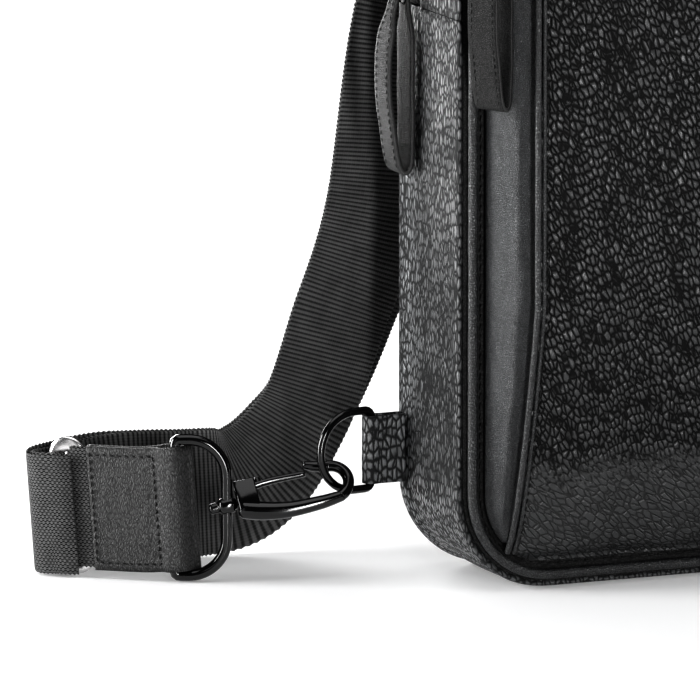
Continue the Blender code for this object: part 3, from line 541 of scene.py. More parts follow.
def webbing(name, light=0.115, dark=0.003):
    """Polyester webbing: cross ribs on one face, and on the other rows of short floats laid like bricks."""
    look = Look(name, Specular_IOR_Level=0.3, Sheen_Weight=0.08, Sheen_Roughness=0.4)
    split = look.add("ShaderNodeSeparateXYZ", {0: look.weave_place()})
    across = look.math("DIVIDE", split.outputs[0], WEB_THREAD)
    along = look.math("DIVIDE", split.outputs[1], WEB_PITCH)
    bricks = look.math("GREATER_THAN", split.outputs[0], WEAVE_SHIFT / 2)
    odd = look.math("MULTIPLY", look.math("FLOORED_MODULO", look.math("FLOOR", across), 2.0), 0.5)
    rib = look.math("SINE", look.math("MULTIPLY", along, 2 * math.pi))
    dash = look.math("SINE", look.math("MULTIPLY", look.math("ADD", along, odd), 2 * math.pi))
    thread = look.math("SINE", look.math("MULTIPLY", look.math("FRACT", across), math.pi))
    ribbed = look.math("ADD", look.math("MULTIPLY", rib, 0.86), look.math("MULTIPLY", dash, 0.14))
    lit = look.fit(ribbed, -0.9, 0.7, 0.42, 1.0)
    ribbed = look.math("MULTIPLY", lit, look.fit(thread, 0.0, 0.7, 0.75, 1.0))
    pit = look.math("MULTIPLY", look.fit(dash, -0.3, 0.45), look.fit(thread, 1.0, 0.74))
    laid = look.math("SUBTRACT", 1.0, pit)
    mixed = look.add("ShaderNodeMix", {0: bricks, 2: ribbed, 3: laid}, data_type="FLOAT").outputs[0]
    fuzz = look.noise(look.place(), 0.22 * MM, 3.0, 0.65)
    # Random darker patches of the webbing's own tone.
    mottle_and_painted_light = look.noise(look.place(), 7 * MM, 4.0, 0.6)
    height = look.math("ADD", mixed, look.math("MULTIPLY", fuzz, 0.4))
    look.put("Normal", look.bump(height, 0.3 * MM))
    # Painted shade: the base colour follows the weave's relief and is darkest in the rib gaps and in the pits
    # between the floats; random patches and a slightly darker brick face are multiplied in.
    painted_shade_tone = look.math("MULTIPLY", look.fit(height, 0.3, 1.35), look.fit(mottle_and_painted_light, 0.3, 0.7, 0.7, 1.0))
    middle = WEAVE_SHIFT / 2
    painted_shade_tone = look.math("MULTIPLY", painted_shade_tone, look.fit(split.outputs[0], middle - 0.1, middle + 0.1, 1.0, 0.8))
    look.put("Specular IOR Level", look.fit(height, 0.3, 1.0, 0.02, 0.3))
    look.put("Base Color", look.blend(painted_shade_tone, grey(dark), grey(light)))
    look.put("Roughness", look.fit(fuzz, 0.3, 0.7, 0.62, 0.82))
    return look.material


def woven(name, pitch, light, dark, depth=0.1 * MM, rough=0.8):
    """Plain weave in the piece's own coordinates, for tape, lining and mesh cloth."""
    look = Look(name, Specular_IOR_Level=0.3)
    where = look.add("ShaderNodeSeparateXYZ", {0: look.place((1 / pitch, 1 / pitch, 1 / pitch))})
    round_it = look.math("ADD", where.outputs[0], where.outputs[1])
    waves = [look.math("SINE", look.math("MULTIPLY", way, 2 * math.pi))
             for way in (round_it, where.outputs[2])]
    cross = look.math("MULTIPLY", waves[0], waves[1])
    fuzz = look.noise(look.place(), pitch * 0.5, 3.0)
    height = look.math("ADD", look.fit(cross, -1.2, 1.2), look.math("MULTIPLY", fuzz, 0.5))
    look.put("Normal", look.bump(height, depth))
    # Painted shade: the base colour follows the weave's relief and is darker where the threads dip.
    look.put("Base Color", look.blend(look.fit(height, 0.2, 1.3), grey(dark), grey(light)))
    look.put("Roughness", look.fit(fuzz, 0.3, 0.7, rough - 0.08, rough + 0.08))
    return look.material


def metal(name, colour, rough, metallic, wear=0.06, level=0.5):
    """Polished or lacquered metal with faint handling marks."""
    look = Look(name, Base_Color=colour, Metallic=metallic, Specular_IOR_Level=level)
    haze = look.noise(look.place(), 3 * MM, 4.0, 0.6)
    scratch = look.noise(look.place((1, 1, 9)), 0.6 * MM, 3.0, 0.7)
    marks = look.math("ADD", haze, look.math("MULTIPLY", scratch, 0.6))
    look.put("Roughness", look.fit(marks, 0.5, 1.1, rough, rough + wear))
    look.put("Normal", look.bump(scratch, 0.004 * MM, 0.5))
    return look.material


def foam(name):
    look = Look(name, Specular_IOR_Level=0.2)
    bubbles = look.cells(look.place(), 0.8 * MM, "F1")
    look.put("Base Color", look.blend(look.fit(bubbles, 0.1, 0.6), grey(0.24), grey(0.1)))
    look.put("Roughness", look.fit(bubbles, 0, 0.6, 0.85, 0.95))
    look.put("Normal", look.bump(bubbles, 0.2 * MM))
    return look.material


def fibre_board(name):
    look = Look(name, Specular_IOR_Level=0.3)
    fibres = look.noise(look.place((1, 8, 1)), 1.5 * MM, 5.0, 0.7)
    look.put("Base Color", look.blend(fibres, (0.08, 0.065, 0.05, 1), (0.16, 0.135, 0.11, 1)))
    look.put("Roughness", look.fit(fibres, 0.3, 0.7, 0.75, 0.9))
    look.put("Normal", look.bump(fibres, 0.1 * MM))
    return look.material


def thread(name, level):
    """Twisted sewing thread."""
    look = Look(name, Specular_IOR_Level=0.4)
    twist = look.noise(look.place(), 0.18 * MM, 2.0)
    look.put("Base Color", look.blend(twist, grey(level * 0.6), grey(level * 1.5)))
    look.put("Roughness", look.fit(twist, 0.3, 0.7, 0.5, 0.7))
    look.put("Normal", look.bump(twist, 0.05 * MM))
    return look.material


# Painted light: the gusset's copy of the pebbled leather has a base colour five times lighter than the
# front's, standing in for the side lamps' sheen on the gusset; its last argument adds the painted highlight
# towards the back.
GUSSET = pebbled("gusset_leather", 1.55 * MM, (1.0, 1.2, 0.5), depth=0.30 * MM, dark=0.015, light=0.12,
                 gloss=0.38, mottle_and_painted_light=(-4 * MM, 20 * MM))
FRONT = pebbled("front_leather", 1.95 * MM, (1.4, 1.0, 0.68), (0, math.radians(-24), 0), depth=0.50 * MM,
                light=0.024, gloss=0.36, creased=True)
PIPING = fine_leather("piping_leather", 0.8 * MM, dark=0.004, light=0.04, gloss=0.36, depth=0.18 * MM)
# Painted sheen: the black smooth leather is given a mid-grey, faintly blue base colour that stands in for the
# side lamp's reflection.
SIDE = fine_leather("pocket_side_leather", 0.4 * MM, dark=0.015, light=0.15, gloss=0.36, tint=0.03,
                    depth=0.40 * MM, crease=0.08, shine=0.85)
TAB = fine_leather("strap_tab_leather", 0.45 * MM, dark=0.007, light=0.036, gloss=0.44, stretch=(1, 1, 0.3),
                   depth=0.2 * MM, tint=0.0)
PULL = fine_leather("pull_leather", 0.5 * MM, dark=0.006, light=0.03, gloss=0.6, depth=0.18 * MM, tint=0.0,
                    shine=0.28)
# Painted shade: near-black leather for the front panel, which shows only in the shadowed groove between the
# piping and the pocket.
PAINTED_SHADE_PANEL = fine_leather("groove_painted_shade", 0.9 * MM, dark=0.001, light=0.003, gloss=0.7, depth=0.05 * MM,
                      tint=0.0)
CUT_EDGE = fine_leather("cut_leather_edge", 0.4 * MM, dark=0.012, light=0.05, gloss=0.5, depth=0.08 * MM,
                        tint=0.0)
WEBBING = webbing("webbing")
TAPE = woven("zip_tape", 0.7 * MM, 0.02, 0.006)
LINING = woven("lining_cloth", 0.5 * MM, 0.06, 0.02, 0.06 * MM)
MESH_CLOTH = woven("back_mesh_cloth", 1.6 * MM, 0.03, 0.004, 0.35 * MM, 0.85)
BLACK_METAL = metal("black_lacquered_metal", (0.002, 0.002, 0.0022, 1), 0.08, 0.0, level=0.55)
SILVER = metal("polished_silver_metal", (0.72, 0.71, 0.71, 1), 0.22, 1.0)
STEEL = metal("spring_steel", (0.5, 0.5, 0.51, 1), 0.3, 1.0)
COIL = metal("nylon_zip_teeth", (0.012, 0.012, 0.013, 1), 0.35, 0.0)
BLACK_THREAD = thread("black_thread", 0.004)
FOAM = foam("foam")
BOARD = fibre_board("base_board")


# ------------------------------------------------------------------ outlines of the bag
def lower_outline(top):
    """(point, inward) pairs from the left side at height top, round the bottom, to the right side."""
    x = WIDTH / 2 - BOTTOM_RADIUS
    centres = (Vector((-x, 0, BOTTOM_RADIUS)), Vector((x, 0, BOTTOM_RADIUS)))
    r = BOTTOM_RADIUS
    corner = arc((-x, r), r, 180, 270, 40), arc((x, r), r, 270, 360, 40)
    line = [Vector((-WIDTH / 2, 0, top))] + [Vector((a, 0, b)) for side in corner for a, b in side]
    line.append(Vector((WIDTH / 2, 0, top)))
    return [(p, inward_at(p, centres, low=True)) for p in evenly(line, OUTLINE_STEP)]


def upper_outline(bottom):
    """(point, inward) pairs from the left side at height bottom, over the top, to the right side."""
    x, z = WIDTH / 2 - TOP_RADIUS, HEIGHT - TOP_RADIUS
    centres = (Vector((-x, 0, z)), Vector((x, 0, z)))
    corner = arc((-x, z), TOP_RADIUS, 180, 90, 50), arc((x, z), TOP_RADIUS, 90, 0, 50)
    line = [Vector((-WIDTH / 2, 0, bottom))] + [Vector((a, 0, b)) for side in corner for a, b in side]
    line.append(Vector((WIDTH / 2, 0, bottom)))
    return [(p, inward_at(p, centres, low=False)) for p in evenly(line, OUTLINE_STEP)]


def inward_at(point, centres, low):
    """Direction into the bag, square to its outline, at a point of one of its two halves."""
    left, right = centres
    past = point.z < left.z if low else point.z > left.z
    if not past:
        return X_AXIS if point.x < 0 else -X_AXIS
    if left.x < point.x < right.x:
        return Z_AXIS if low else -Z_AXIS
    centre = left if point.x < 0 else right
    return (centre - point).normalized()


def whole_outline():
    return lower_outline(MAIN_ZIP_START) + upper_outline(MAIN_ZIP_START)[-2:0:-1]


def band(outline, profile, rough=0.0, seed=0.0):
    """Rows round the outline; profile lists (inset, y), and rough lets the leather stand uneven."""
    rows = []
    for point, inward in outline:
        row = []
        for inset, y in profile:
            place = point + inward * inset + Vector((0, y, 0))
            swell = rough * ripple(place, 26 * MM, seed) * fade(HALF_DEPTH - abs(y), 0.5 * MM, 6 * MM)
            row.append(place + inward * max(0.0, swell))
        rows.append(row)
    return rows


# ------------------------------------------------------------------ main body
def turned_edge(y_edge, way):
    """(inset, y) of leather that turns in over a soft ridge at y_edge; way is the edge's side."""
    shape = [(3.4, -1.5), (2.6, -1.1), (1.8, -0.5), (1.2, -0.02), (0.7, 0.12), (0.3, -0.5), (0.06, -1.9),
             (0.15, -3.2), (0.25, -4.5)]
    return [(inset * MM, y_edge + way * out * MM) for inset, out in shape]


def level_profile(start, end, count):
    spots = [start + (end - start) * i / count for i in range(1, count)]
    return [(0.1 * MM + 0.8 * MM * ((y + 5 * MM) / HALF_DEPTH) ** 2, y) for y in spots]


def make_gusset():
    """The pebbled gusset: the lower band, and the two that run beside the main zip."""
    edge = HALF_DEPTH
    front = turned_edge(-edge, -1)
    back = turned_edge(edge, 1)[::-1]
    middle = level_profile(-edge + 4.5 * MM, edge - 4.5 * MM, 14)
    lower_rows = band(lower_outline(MAIN_ZIP_START - GAP), front + middle + back, 0.5 * MM)
    lower = grid("gusset_lower_leather", lower_rows, GUSSET)
    part(thicken(lower, GUSSET_LEATHER), "bag", "pebbled_leather", "gusset_lower")
    zip_front = MAIN_ZIP_Y - ZIP_TAPE / 2 - GAP
    zip_back = MAIN_ZIP_Y + ZIP_TAPE / 2 + GAP
    hem = [(0.0, -1.6), (0.1, -0.7), (0.5, -0.15), (1.1, 0.0), (1.7, -0.3)]
    to_zip = [(inset * MM, zip_front + out * MM) for inset, out in hem]
    level = level_profile(-edge + 4.5 * MM, zip_front - 1.6 * MM, 11)
    outline = upper_outline(MAIN_ZIP_START)
    upper = grid("gusset_upper_front_leather", band(outline, front + level + to_zip, 0.4 * MM, 3.0), GUSSET)
    part(thicken(upper, GUSSET_LEATHER, side=1), "bag", "pebbled_leather", "gusset_upper_front")
    from_zip = [(inset * MM, zip_back - out * MM) for inset, out in hem[::-1]]
    rear = grid("gusset_upper_back_leather", band(outline, from_zip + back[3:], 0.0), GUSSET)
    part(thicken(rear, GUSSET_LEATHER, side=1), "bag", "pebbled_leather", "gusset_upper_back")
    line = [point + inward * (-0.02 * MM) + Vector((0, zip_front - 2.6 * MM, 0)) for point, inward in outline]
    seam = stitch_line("gusset_zip_stitches", line, [-inward for point, inward in outline], BLACK_THREAD)
    part(seam, "bag", "edge_leather")


def make_piping():
    """Leather-covered cord round the front and back, a little uneven where it was sewn."""
    for name, side in (("front_piping", -1), ("back_piping", 1)):
        y = side * (HALF_DEPTH + GAP + PIPING_RADIUS)
        line = [point + inward * PIPING_INSET + Vector((0, y, 0)) for point, inward in whole_outline()]
        closed = evenly(line + line[:1], 1.6 * MM)[:-1]
        radii = [1 + 0.05 * ripple(p, 7 * MM) + 0.04 * ripple(p, 1.8 * MM, 5) for p in closed]
        cord = tube(name + "_cord", closed, PIPING_RADIUS, PIPING, closed=True, sides=14, radii=radii)
        part(cord, "bag", "edge_leather", name)
    stitches = [point + inward * 7.1 * MM + Vector((0, -22.3 * MM, 0))
                for point, inward in lower_outline(200 * MM)]
    seam = stitch_line("piping_stitches", stitches, [-Y_AXIS] * len(stitches), BLACK_THREAD)
    part(seam, "bag", "edge_leather")


# cross-section of a zip's tooth, in mm: (reach from the zip's middle, half its width, height)
TOOTH = ((-0.3, 0.34, 0.35), (0.35, 0.42, 0.95), (1.2, 0.36, 1.0), (1.75, 0.26, 0.55))


def make_zip(name, outline_points, ways_out, ways_across, coil_node):
    """Interlocked nylon teeth along a line, on both sides of its middle."""
    verts, faces = [], []
    line = evenly(outline_points, TOOTH_PITCH / 2)
    step = (len(outline_points) - 1) / (len(line) - 1)
    runs = directions(line)
    for i, (centre, run) in enumerate(zip(line, runs)):
        near = min(len(ways_out) - 1, round(i * step))
        out, across = ways_out[near], ways_across[near]
        side = 1 if i % 2 else -1
        base = len(verts)
        for reach, half, lift in TOOTH:
            foot = centre + across * (side * reach * MM)
            for sx, up in ((-1, lift * 0.1), (-0.75, lift), (0.75, lift), (1, lift * 0.1)):
                verts.append(foot + run * (sx * half * MM) + out * (up * MM))
        for a in range(3):
            for b in range(3):
                k = base + a * 4 + b
                faces.append((k, k + 1, k + 5, k + 4))
            faces.append((base + a * 4 + 3, base + a * 4, base + a * 4 + 4, base + a * 4 + 7))
        faces.append((base + 3, base + 2, base + 1, base))
        faces.append((base + 12, base + 13, base + 14, base + 15))
    mesh = bpy.data.meshes.new(name)
    mesh.from_pydata(verts, [], faces)
    mesh.shade_smooth()
    mesh.set_sharp_from_angle(angle=math.radians(45))
    return part(link(name, mesh, COIL), "bag", "zip_coil", coil_node)


def make_main_zip():
    outline = upper_outline(MAIN_ZIP_START)
    half = ZIP_TAPE / 2 + 0.6 * MM
    profile = [(1.35 * MM, MAIN_ZIP_Y + half * share) for share in (-1, -0.5, -0.12, 0, 0.12, 0.5, 1)]
    tape = grid("main_zip_cloth", band(outline, profile), TAPE)
    part(thicken(tape, 0.5 * MM, side=1), "bag", "zip_tape", "main_zip_tape")
    outline = upper_outline(MAIN_ZIP_START + 2 * MM)
    line = [point + inward * (0.9 * MM) + Vector((0, MAIN_ZIP_Y, 0)) for point, inward in outline]
    outs = [-inward for point, inward in outline]
    make_zip("main_zip_teeth", line, outs, [Y_AXIS] * len(line), "main_zip_coil")


def outline_distance(x, z, inset):
    """Distance from (x, z) to the bag's outline drawn in by inset; positive inside."""
    half, low, high = WIDTH / 2 - inset, inset, HEIGHT - inset
    radius = (TOP_RADIUS if z > HEIGHT / 2 else BOTTOM_RADIUS) - inset
    dx = abs(x) - (half - radius)
    dz = (z - (high - radius)) if z > HEIGHT / 2 else ((low + radius) - z)
    if dx > 0 and dz > 0:
        return radius - math.hypot(dx, dz)
    return radius - max(dx, dz)


def panel_half(z, inset):
    """Half the width, at height z, of the bag's outline drawn in by inset."""
    high = z > HEIGHT / 2
    radius = (TOP_RADIUS if high else BOTTOM_RADIUS) - inset
    past = z - (HEIGHT - TOP_RADIUS) if high else BOTTOM_RADIUS - z
    if past <= 0:
        return WIDTH / 2 - inset
    return WIDTH / 2 - inset - radius + math.sqrt(max(0, radius ** 2 - past ** 2))


def spread(start, end, edges, step):
    """Values from start to end: edges (distances from each end) first, then even steps between them."""
    inner = end - start - 2 * edges[-1]
    count = max(1, round(inner / step))
    middle = [start + edges[-1] + inner * i / count for i in range(1, count)]
    return [start + d for d in edges] + middle + [end - d for d in reversed(edges)]


def back_height(x, z):
    """How far back the padding stands at (x, z)."""
    inside = outline_distance(x, z, BACK_INSET)
    rise = 3.2 * MM * fade(inside, 0, 16 * MM)
    channel = min(abs(x), abs(abs(x) - 44 * MM))
    seam = min(channel, abs(z - 70 * MM), abs(z - 250 * MM))
    groove = 1.9 * MM * (1 - fade(seam, 0, 5 * MM)) * fade(inside, 2 * MM, 16 * MM)
    return HALF_DEPTH - 0.3 * MM + rise - groove


def make_back_panel():
    """Padded back of mesh cloth with sewn channels."""
    edges = [d * MM for d in (0, 0.5, 1.1, 1.8, 2.7, 3.8, 5.2, 7)]
    widest = panel_half(HEIGHT / 2, BACK_INSET)
    shares = [x / widest for x in spread(-widest, widest, edges, 2.2 * MM)]
    rows = []
    for z in spread(BACK_INSET, HEIGHT - BACK_INSET, edges, 2.2 * MM):
        half = panel_half(z, BACK_INSET)
        rows.append([Vector((share * half, back_height(share * half, z), z)) for share in shares])
    pad = thicken(grid("back_pad", rows, MESH_CLOTH), 1.2 * MM, side=1)
    part(pad, "bag", "pebbled_leather", "back_panel")


# ------------------------------------------------------------------ front pocket
def pocket_rise(z):
    return min(1.0, max(0.0, (z - POCKET_SEAM) / POCKET_RISE)) ** 0.65


def trim_inset(z):
    rise = min(1.0, max(0.0, (z - POCKET_SEAM) / POCKET_RISE))
    return POCKET_TRIM_FOOT + (POCKET_TRIM_INSET - POCKET_TRIM_FOOT) * rise ** 0.4


def strip_edges(z):
    """Outer and inner edge of the left side strip at height z."""
    radius = BOTTOM_RADIUS - POCKET_EDGE_INSET
    x_outer = -WIDTH / 2 + POCKET_EDGE_INSET
    if z < BOTTOM_RADIUS:
        drop = BOTTOM_RADIUS - z
        x_outer = -WIDTH / 2 + BOTTOM_RADIUS - math.sqrt(max(0, radius ** 2 - drop ** 2))
    outer = Vector((x_outer, POCKET_ROOT_Y, z))
    inner = Vector((-WIDTH / 2 + trim_inset(z), POCKET_ROOT_Y - POCKET_DEPTH * pocket_rise(z), z))
    return outer, inner


def strip_outward(outer, inner):
    chord = inner - outer
    outward = Vector((chord.y, -chord.x, 0))
    if abs(chord.z) > 1e-9:
        outward = chord.cross(chord.cross(Y_AXIS))
    return (-outward if outward.y > 0 else outward).normalized()


def across_strip(outer, inner, share, lift=0.0):
    """A point between the strip's edges, pushed out by its bulge."""
    chord = inner - outer
    bulge = STRIP_BULGE * 4 * share * (1 - share) * min(1, chord.length / (18 * MM))
    share = share * (1 - TRIM_CLEAR / max(chord.length, 3 * MM))
    return outer + chord * share + strip_outward(outer, inner) * (bulge + lift)


def arch_stations(bottom):
    """Edges of the strip from the left side at height bottom, over the top, to the right side."""
    stations = []
    for point, inward in upper_outline(bottom):
        outer = point + inward * POCKET_EDGE_INSET + Vector((0, POCKET_ROOT_Y, 0))
        inner = point + inward * POCKET_TRIM_INSET + Vector((0, POCKET_ROOT_Y - POCKET_DEPTH, 0))
        stations.append((outer, inner))
    return stations


def make_pocket_sides():
    """Smooth leather between the bag's front and the pocket's trim, with soft creases low down."""
    shares = [i / 14 for i in range(15)]
    tall = POCKET_ZIP_START - GAP - POCKET_BOTTOM
    heights = [POCKET_BOTTOM + tall * (i / 110) ** 1.25 for i in range(111)]
    rows = []
    for z in heights:
        outer, inner = strip_edges(z)
        outward = strip_outward(outer, inner)
        row = []
        for share in shares:
            spot = across_strip(outer, inner, share)
            loose = 4 * share * (1 - share) * (1 - fade(z, 60 * MM, 150 * MM) * 0.6)
            crease = 0.45 * MM * ripple(Vector((spot.x * 2.2, spot.y, spot.z)), 15 * MM, 2.0)
            fold_at = 0.66 + 0.07 * ripple(Vector((0, 0, z)), 12 * MM, 8.0)
            dip = 4.6 * MM * fade(share, fold_at, fold_at + 0.24) * (1 - 0.6 * fade(share, 0.93, 1.0))
            dip *= fade(outer.x - inner.x, -4 * MM, -12 * MM)
            row.append(spot + outward * (crease * loose - dip))
        rows.append(row)
    left = grid("pocket_side_left_leather", rows, SIDE)
    part(thicken(left, 1.2 * MM, side=-1), "bag", "smooth_leather", "pocket_side_left")
    flipped = [[Vector((-p.x, p.y, p.z)) for p in row] for row in rows]
    right = grid("pocket_side_right_leather", flipped, SIDE)
    part(thicken(right, 1.2 * MM, side=1), "bag", "smooth_leather", "pocket_side_right")


def make_pocket_zip():
    """The strip over the top: leather, zip tape and teeth, leather."""
    half = 0.5 * ZIP_TAPE / STRIP_WIDTH * 0.8
    stations = arch_stations(POCKET_ZIP_START)
    low, high = POCKET_ZIP_CENTRE - half, POCKET_ZIP_CENTRE + half
    bands = (("pocket_zip_outer_leather", "pocket_zip_edge_outer",
              [0.0, 0.06, 0.11, low - 0.045, low - 0.015], [0, 0, 0, 0, -0.35]),
             ("pocket_zip_inner_leather", "pocket_zip_edge_inner",
              [high + 0.015, high + 0.045, 0.68, 0.78, 0.88, 1.0], [-0.35, 0, 0, 0, 0, 0]))
    for name, node, shares, lifts in bands:
        rows = [[across_strip(outer, inner, share, lift * MM) for share, lift in zip(shares, lifts)]
                for outer, inner in stations]
        part(thicken(grid(name, rows, SIDE), 1.2 * MM, side=-1), "bag", "smooth_leather", node)
    shares = [low - 0.02, POCKET_ZIP_CENTRE - 0.05, POCKET_ZIP_CENTRE, POCKET_ZIP_CENTRE + 0.05, high + 0.02]
    rows = [[across_strip(outer, inner, share, -0.9 * MM) for share in shares] for outer, inner in stations]
    tape = thicken(grid("pocket_zip_cloth", rows, TAPE), 0.5 * MM, side=-1)
    part(tape, "bag", "zip_tape", "pocket_zip_tape")
    middle = arch_stations(POCKET_ZIP_START + 2 * MM)
    line = [across_strip(outer, inner, POCKET_ZIP_CENTRE, -0.75 * MM) for outer, inner in middle]
    outs = [strip_outward(outer, inner) for outer, inner in middle]
    across = [(inner - outer).normalized() for outer, inner in middle]
    make_zip("pocket_zip_teeth", line, outs, across, "pocket_zip_coil")


def pocket_outline():
    """(edge of the pocket's front, direction into it) from the lower left corner round to the right."""
    heights = [12 * MM + (POCKET_ZIP_START - 12 * MM) * (i / 60) ** 1.4 for i in range(60)]
    left = [strip_edges(z)[1] for z in heights]
    top = [inner for outer, inner in arch_stations(POCKET_ZIP_START)]
    line = left + top + [Vector((-p.x, p.y, p.z)) for p in reversed(left)]
    spaced = evenly(line, 1.5 * MM)
    ways = directions(spaced)
    inward = [Vector((way.z, 0, -way.x)).normalized() for way in ways]
    return spaced, inward


def front_depth(x, z, edge_y):
    """How far the pocket's front stands out of its edge's plane at (x, z)."""
    top = HEIGHT - POCKET_TRIM_INSET
    share = min(1, max(0, (z - POCKET_SEAM) / (top - POCKET_SEAM)))
    half = WIDTH / 2 - trim_inset(z)
    swell = math.sin(math.pi * share ** 0.8) * max(0.0, 1 - (x / half) ** 2)
    return edge_y - POCKET_CROWN * swell


def front_inside(x, z):
    """Distance from (x, z) to the edge of the pocket's front."""
    corner = TOP_RADIUS - POCKET_TRIM_INSET
    top = HEIGHT - POCKET_TRIM_INSET
    half = WIDTH / 2 - trim_inset(z)
    dx, dz = abs(x) - (half - corner), z - (top - corner)
    if dx > 0 and dz > 0:
        return corner - math.hypot(dx, dz)
    return corner - max(dx, dz)


def front_point(x, z):
    """The leather of the pocket's front: turned at its edge, drawn in at its seam, slack low down."""
    edge_y = POCKET_ROOT_Y - POCKET_DEPTH * pocket_rise(z)
    inside = front_inside(x, z)
    y = front_depth(x, z, edge_y)
    y += 1.1 * MM * (1 - fade(inside, 0, 1.6 * MM))
    y += 0.42 * MM * math.exp(-((inside - SEAM_INSET) / (0.55 * MM)) ** 2)
    y -= 0.55 * MM * fade(inside, 3 * MM, 9 * MM)
    spot = Vector((x, y, z))
    slack = fade(inside, 3 * MM, 12 * MM)
    low = 1 - fade(z, 50 * MM, 130 * MM)
    waves = 0.55 * ripple(Vector((x * 0.9, 0, z * 1.3)), 34 * MM, 4.0) + 0.3 * low * ripple(
        Vector((x + z * 0.6, 0, (z - x * 0.35) * 2.4)), 13 * MM, 9.0)
    tuck = 1.0 * MM * (1 - fade(z, 9 * MM, 13 * MM))
    sway = 5 * MM * ripple(Vector((0, 0, z)), 45 * MM, 6.0)
    folds = 0.6 * math.cos(2 * math.pi * (x + 58.5 * MM + sway) / (34 * MM))
    waves += folds * (1 - 0.5 * fade(x, -20 * MM, 20 * MM))
    return spot + Vector((0, tuck - waves * slack * MM, 0))


def make_pocket_front():
    top = HEIGHT - POCKET_TRIM_INSET
    corner = TOP_RADIUS - POCKET_TRIM_INSET
    flat = WIDTH / 2 - POCKET_TRIM_INSET - corner
    seam_corner = BOTTOM_RADIUS - POCKET_FRONT_INSET
    near_edge = [0, 0.35, 0.7, 1.1, 1.5, 1.8, 2.1, 2.4, 2.7, 3.1, 3.7, 4.6, 6]
    heights = [8.2 + d for d in (0, 0.4, 0.9, 1.5, 2.2, 3, 4, 5, 6.2, 7.5, 9, 10.6, 12.4, 14.4, 16.6, 19)]
    heights += [29 + 2.4 * i for i in range(106)]
    heights = [z * MM for z in heights if z * MM < top - 6.5 * MM]
    heights += [top - d * MM for d in reversed(near_edge)]
    rows = []
    for z in heights:
        half = WIDTH / 2 - trim_inset(z)
        if z > top - corner:
            half = flat + math.sqrt(max(0, corner ** 2 - (z - top + corner) ** 2))
        if z < BOTTOM_RADIUS:
            reach = math.sqrt(max(0, seam_corner ** 2 - (BOTTOM_RADIUS - z) ** 2))
            half = min(half, WIDTH / 2 - BOTTOM_RADIUS + reach)
        inner = half - 6 * MM
        xs = [-half + d * MM for d in near_edge] + [-inner + 2 * inner * i / 60 for i in range(1, 60)]
        xs += [half - d * MM for d in reversed(near_edge)]
        rows.append([front_point(x, z) for x in xs])
    front = grid("pocket_front_leather", rows, FRONT)
    part(thicken(front, 1.2 * MM, side=-1), "bag", "pebbled_leather", "pocket_front")


def make_trim():
    """The pocket's edge: a corded lip, a thin fold and the turned edge of the front, then its stitches."""
    line, inward = pocket_outline()
    forward = Vector((0, -1, 0))
    lips = []
    for shift, lift, size, seed in ((-0.9, 0.4, 0.95, 1.0), (0.75, 1.0, 0.62, 4.0)):
        path = [p + way * shift * MM + forward * lift * MM for p, way in zip(line, inward)]
        radii = [1 + 0.08 * ripple(p, 5 * MM, seed) for p in path]
        lips.append(tube("lip", path, size * MM, PIPING, sides=10, radii=radii))
    part(merge("pocket_trim_leather", lips), "bag", "edge_leather", "pocket_trim")
    seam, outs = [], []
    for p, way in zip(line, inward):
        spot = p + way * SEAM_INSET
        seam.append(front_point(spot.x, spot.z) + forward * 0.05 * MM)
        outs.append(forward)
    part(stitch_line("pocket_seam_stitches", seam, outs, BLACK_THREAD, length=1.6 * MM,
                     spacing=2.4 * MM, radius=0.22 * MM), "bag", "edge_leather")


# ------------------------------------------------------------------ rings and their tabs
def ring_points(half, reach, far, near, steps=16):
    return (arc((reach - far, half - far), far, 90, 0, steps)
            + arc((reach - far, -half + far), far, 0, -90, steps)
            + arc((near, -half + near), near, -90, -180, 5)
            + arc((near, half - near), near, 180, 90, 5))


def wire_ring(name, bar, outward, shape, radius, material):
    points = []
    for out, up in shape:
        spot = bar + outward * out + Z_AXIS * up
        if not points or (spot - points[-1]).length > 0.1 * MM:
            points.append(spot)
    closed = evenly(points + points[:1], 0.8 * MM)[:-1]
    return tube(name, closed, radius, material, closed=True, sides=18)


def folded_leather(name, bar, outward, length, height, fold, leather, material, rim, rough, pinch=0.0,
                   lean=None):
    """Leather folded round a ring's bar; pinch draws the fold out past the bar."""
    side = outward.cross(Z_AXIS)
    flat = fold * (0.4 if pinch else 0.75)
    profile = [Vector((-length, flat, 0)), Vector((-length * 0.7, flat, 0)),
               Vector((-length * 0.42, flat * 1.03, 0)), Vector((-fold * 1.9, flat * 1.06, 0)),
               Vector((-fold * 1.0, fold * 0.86, 0)), Vector((0, fold, 0))]
    if pinch:
        nose = [Vector((fold * 0.75, fold * 0.8, 0)), Vector((fold * 1.35, fold * 0.36, 0)),
                Vector((fold + pinch * 0.6, fold * 0.27, 0)), Vector((fold + pinch * 0.96, fold * 0.27, 0)),
                Vector((fold + pinch, 0, 0))]
    else:
        nose = [Vector((fold * math.sin(a), fold * math.cos(a), 0)) for a in (0.6, 1.1, math.pi / 2)]
    profile = profile + nose + [Vector((p.x, -p.y, 0)) for p in reversed(profile + nose[:-1])]
    line = smooth_route(profile, 5)
    count = 20
    rows = []
    for spot in line:
        row = []
        for j in range(count + 1):
            up = height * (j / count - 0.5)
            bend = 3.2 * MM * fade(spot.x, fold * 0.7, fold + pinch) if pinch else 0.0
            place = bar + outward * spot.x + side * (spot.y - bend) + Z_AXIS * up
            loose = fade(abs(spot.x), 0, length * 0.2) * fade(length + spot.x, 0, length * 0.15)
            place += side * (math.copysign(1, spot.y or 1) * rough * loose * ripple(place, 6 * MM, 7.0))
            row.append(lean(place) if lean else place)
        rows.append(row)
    return thicken(grid(name, rows, material), leather, side=0, rim=rim)


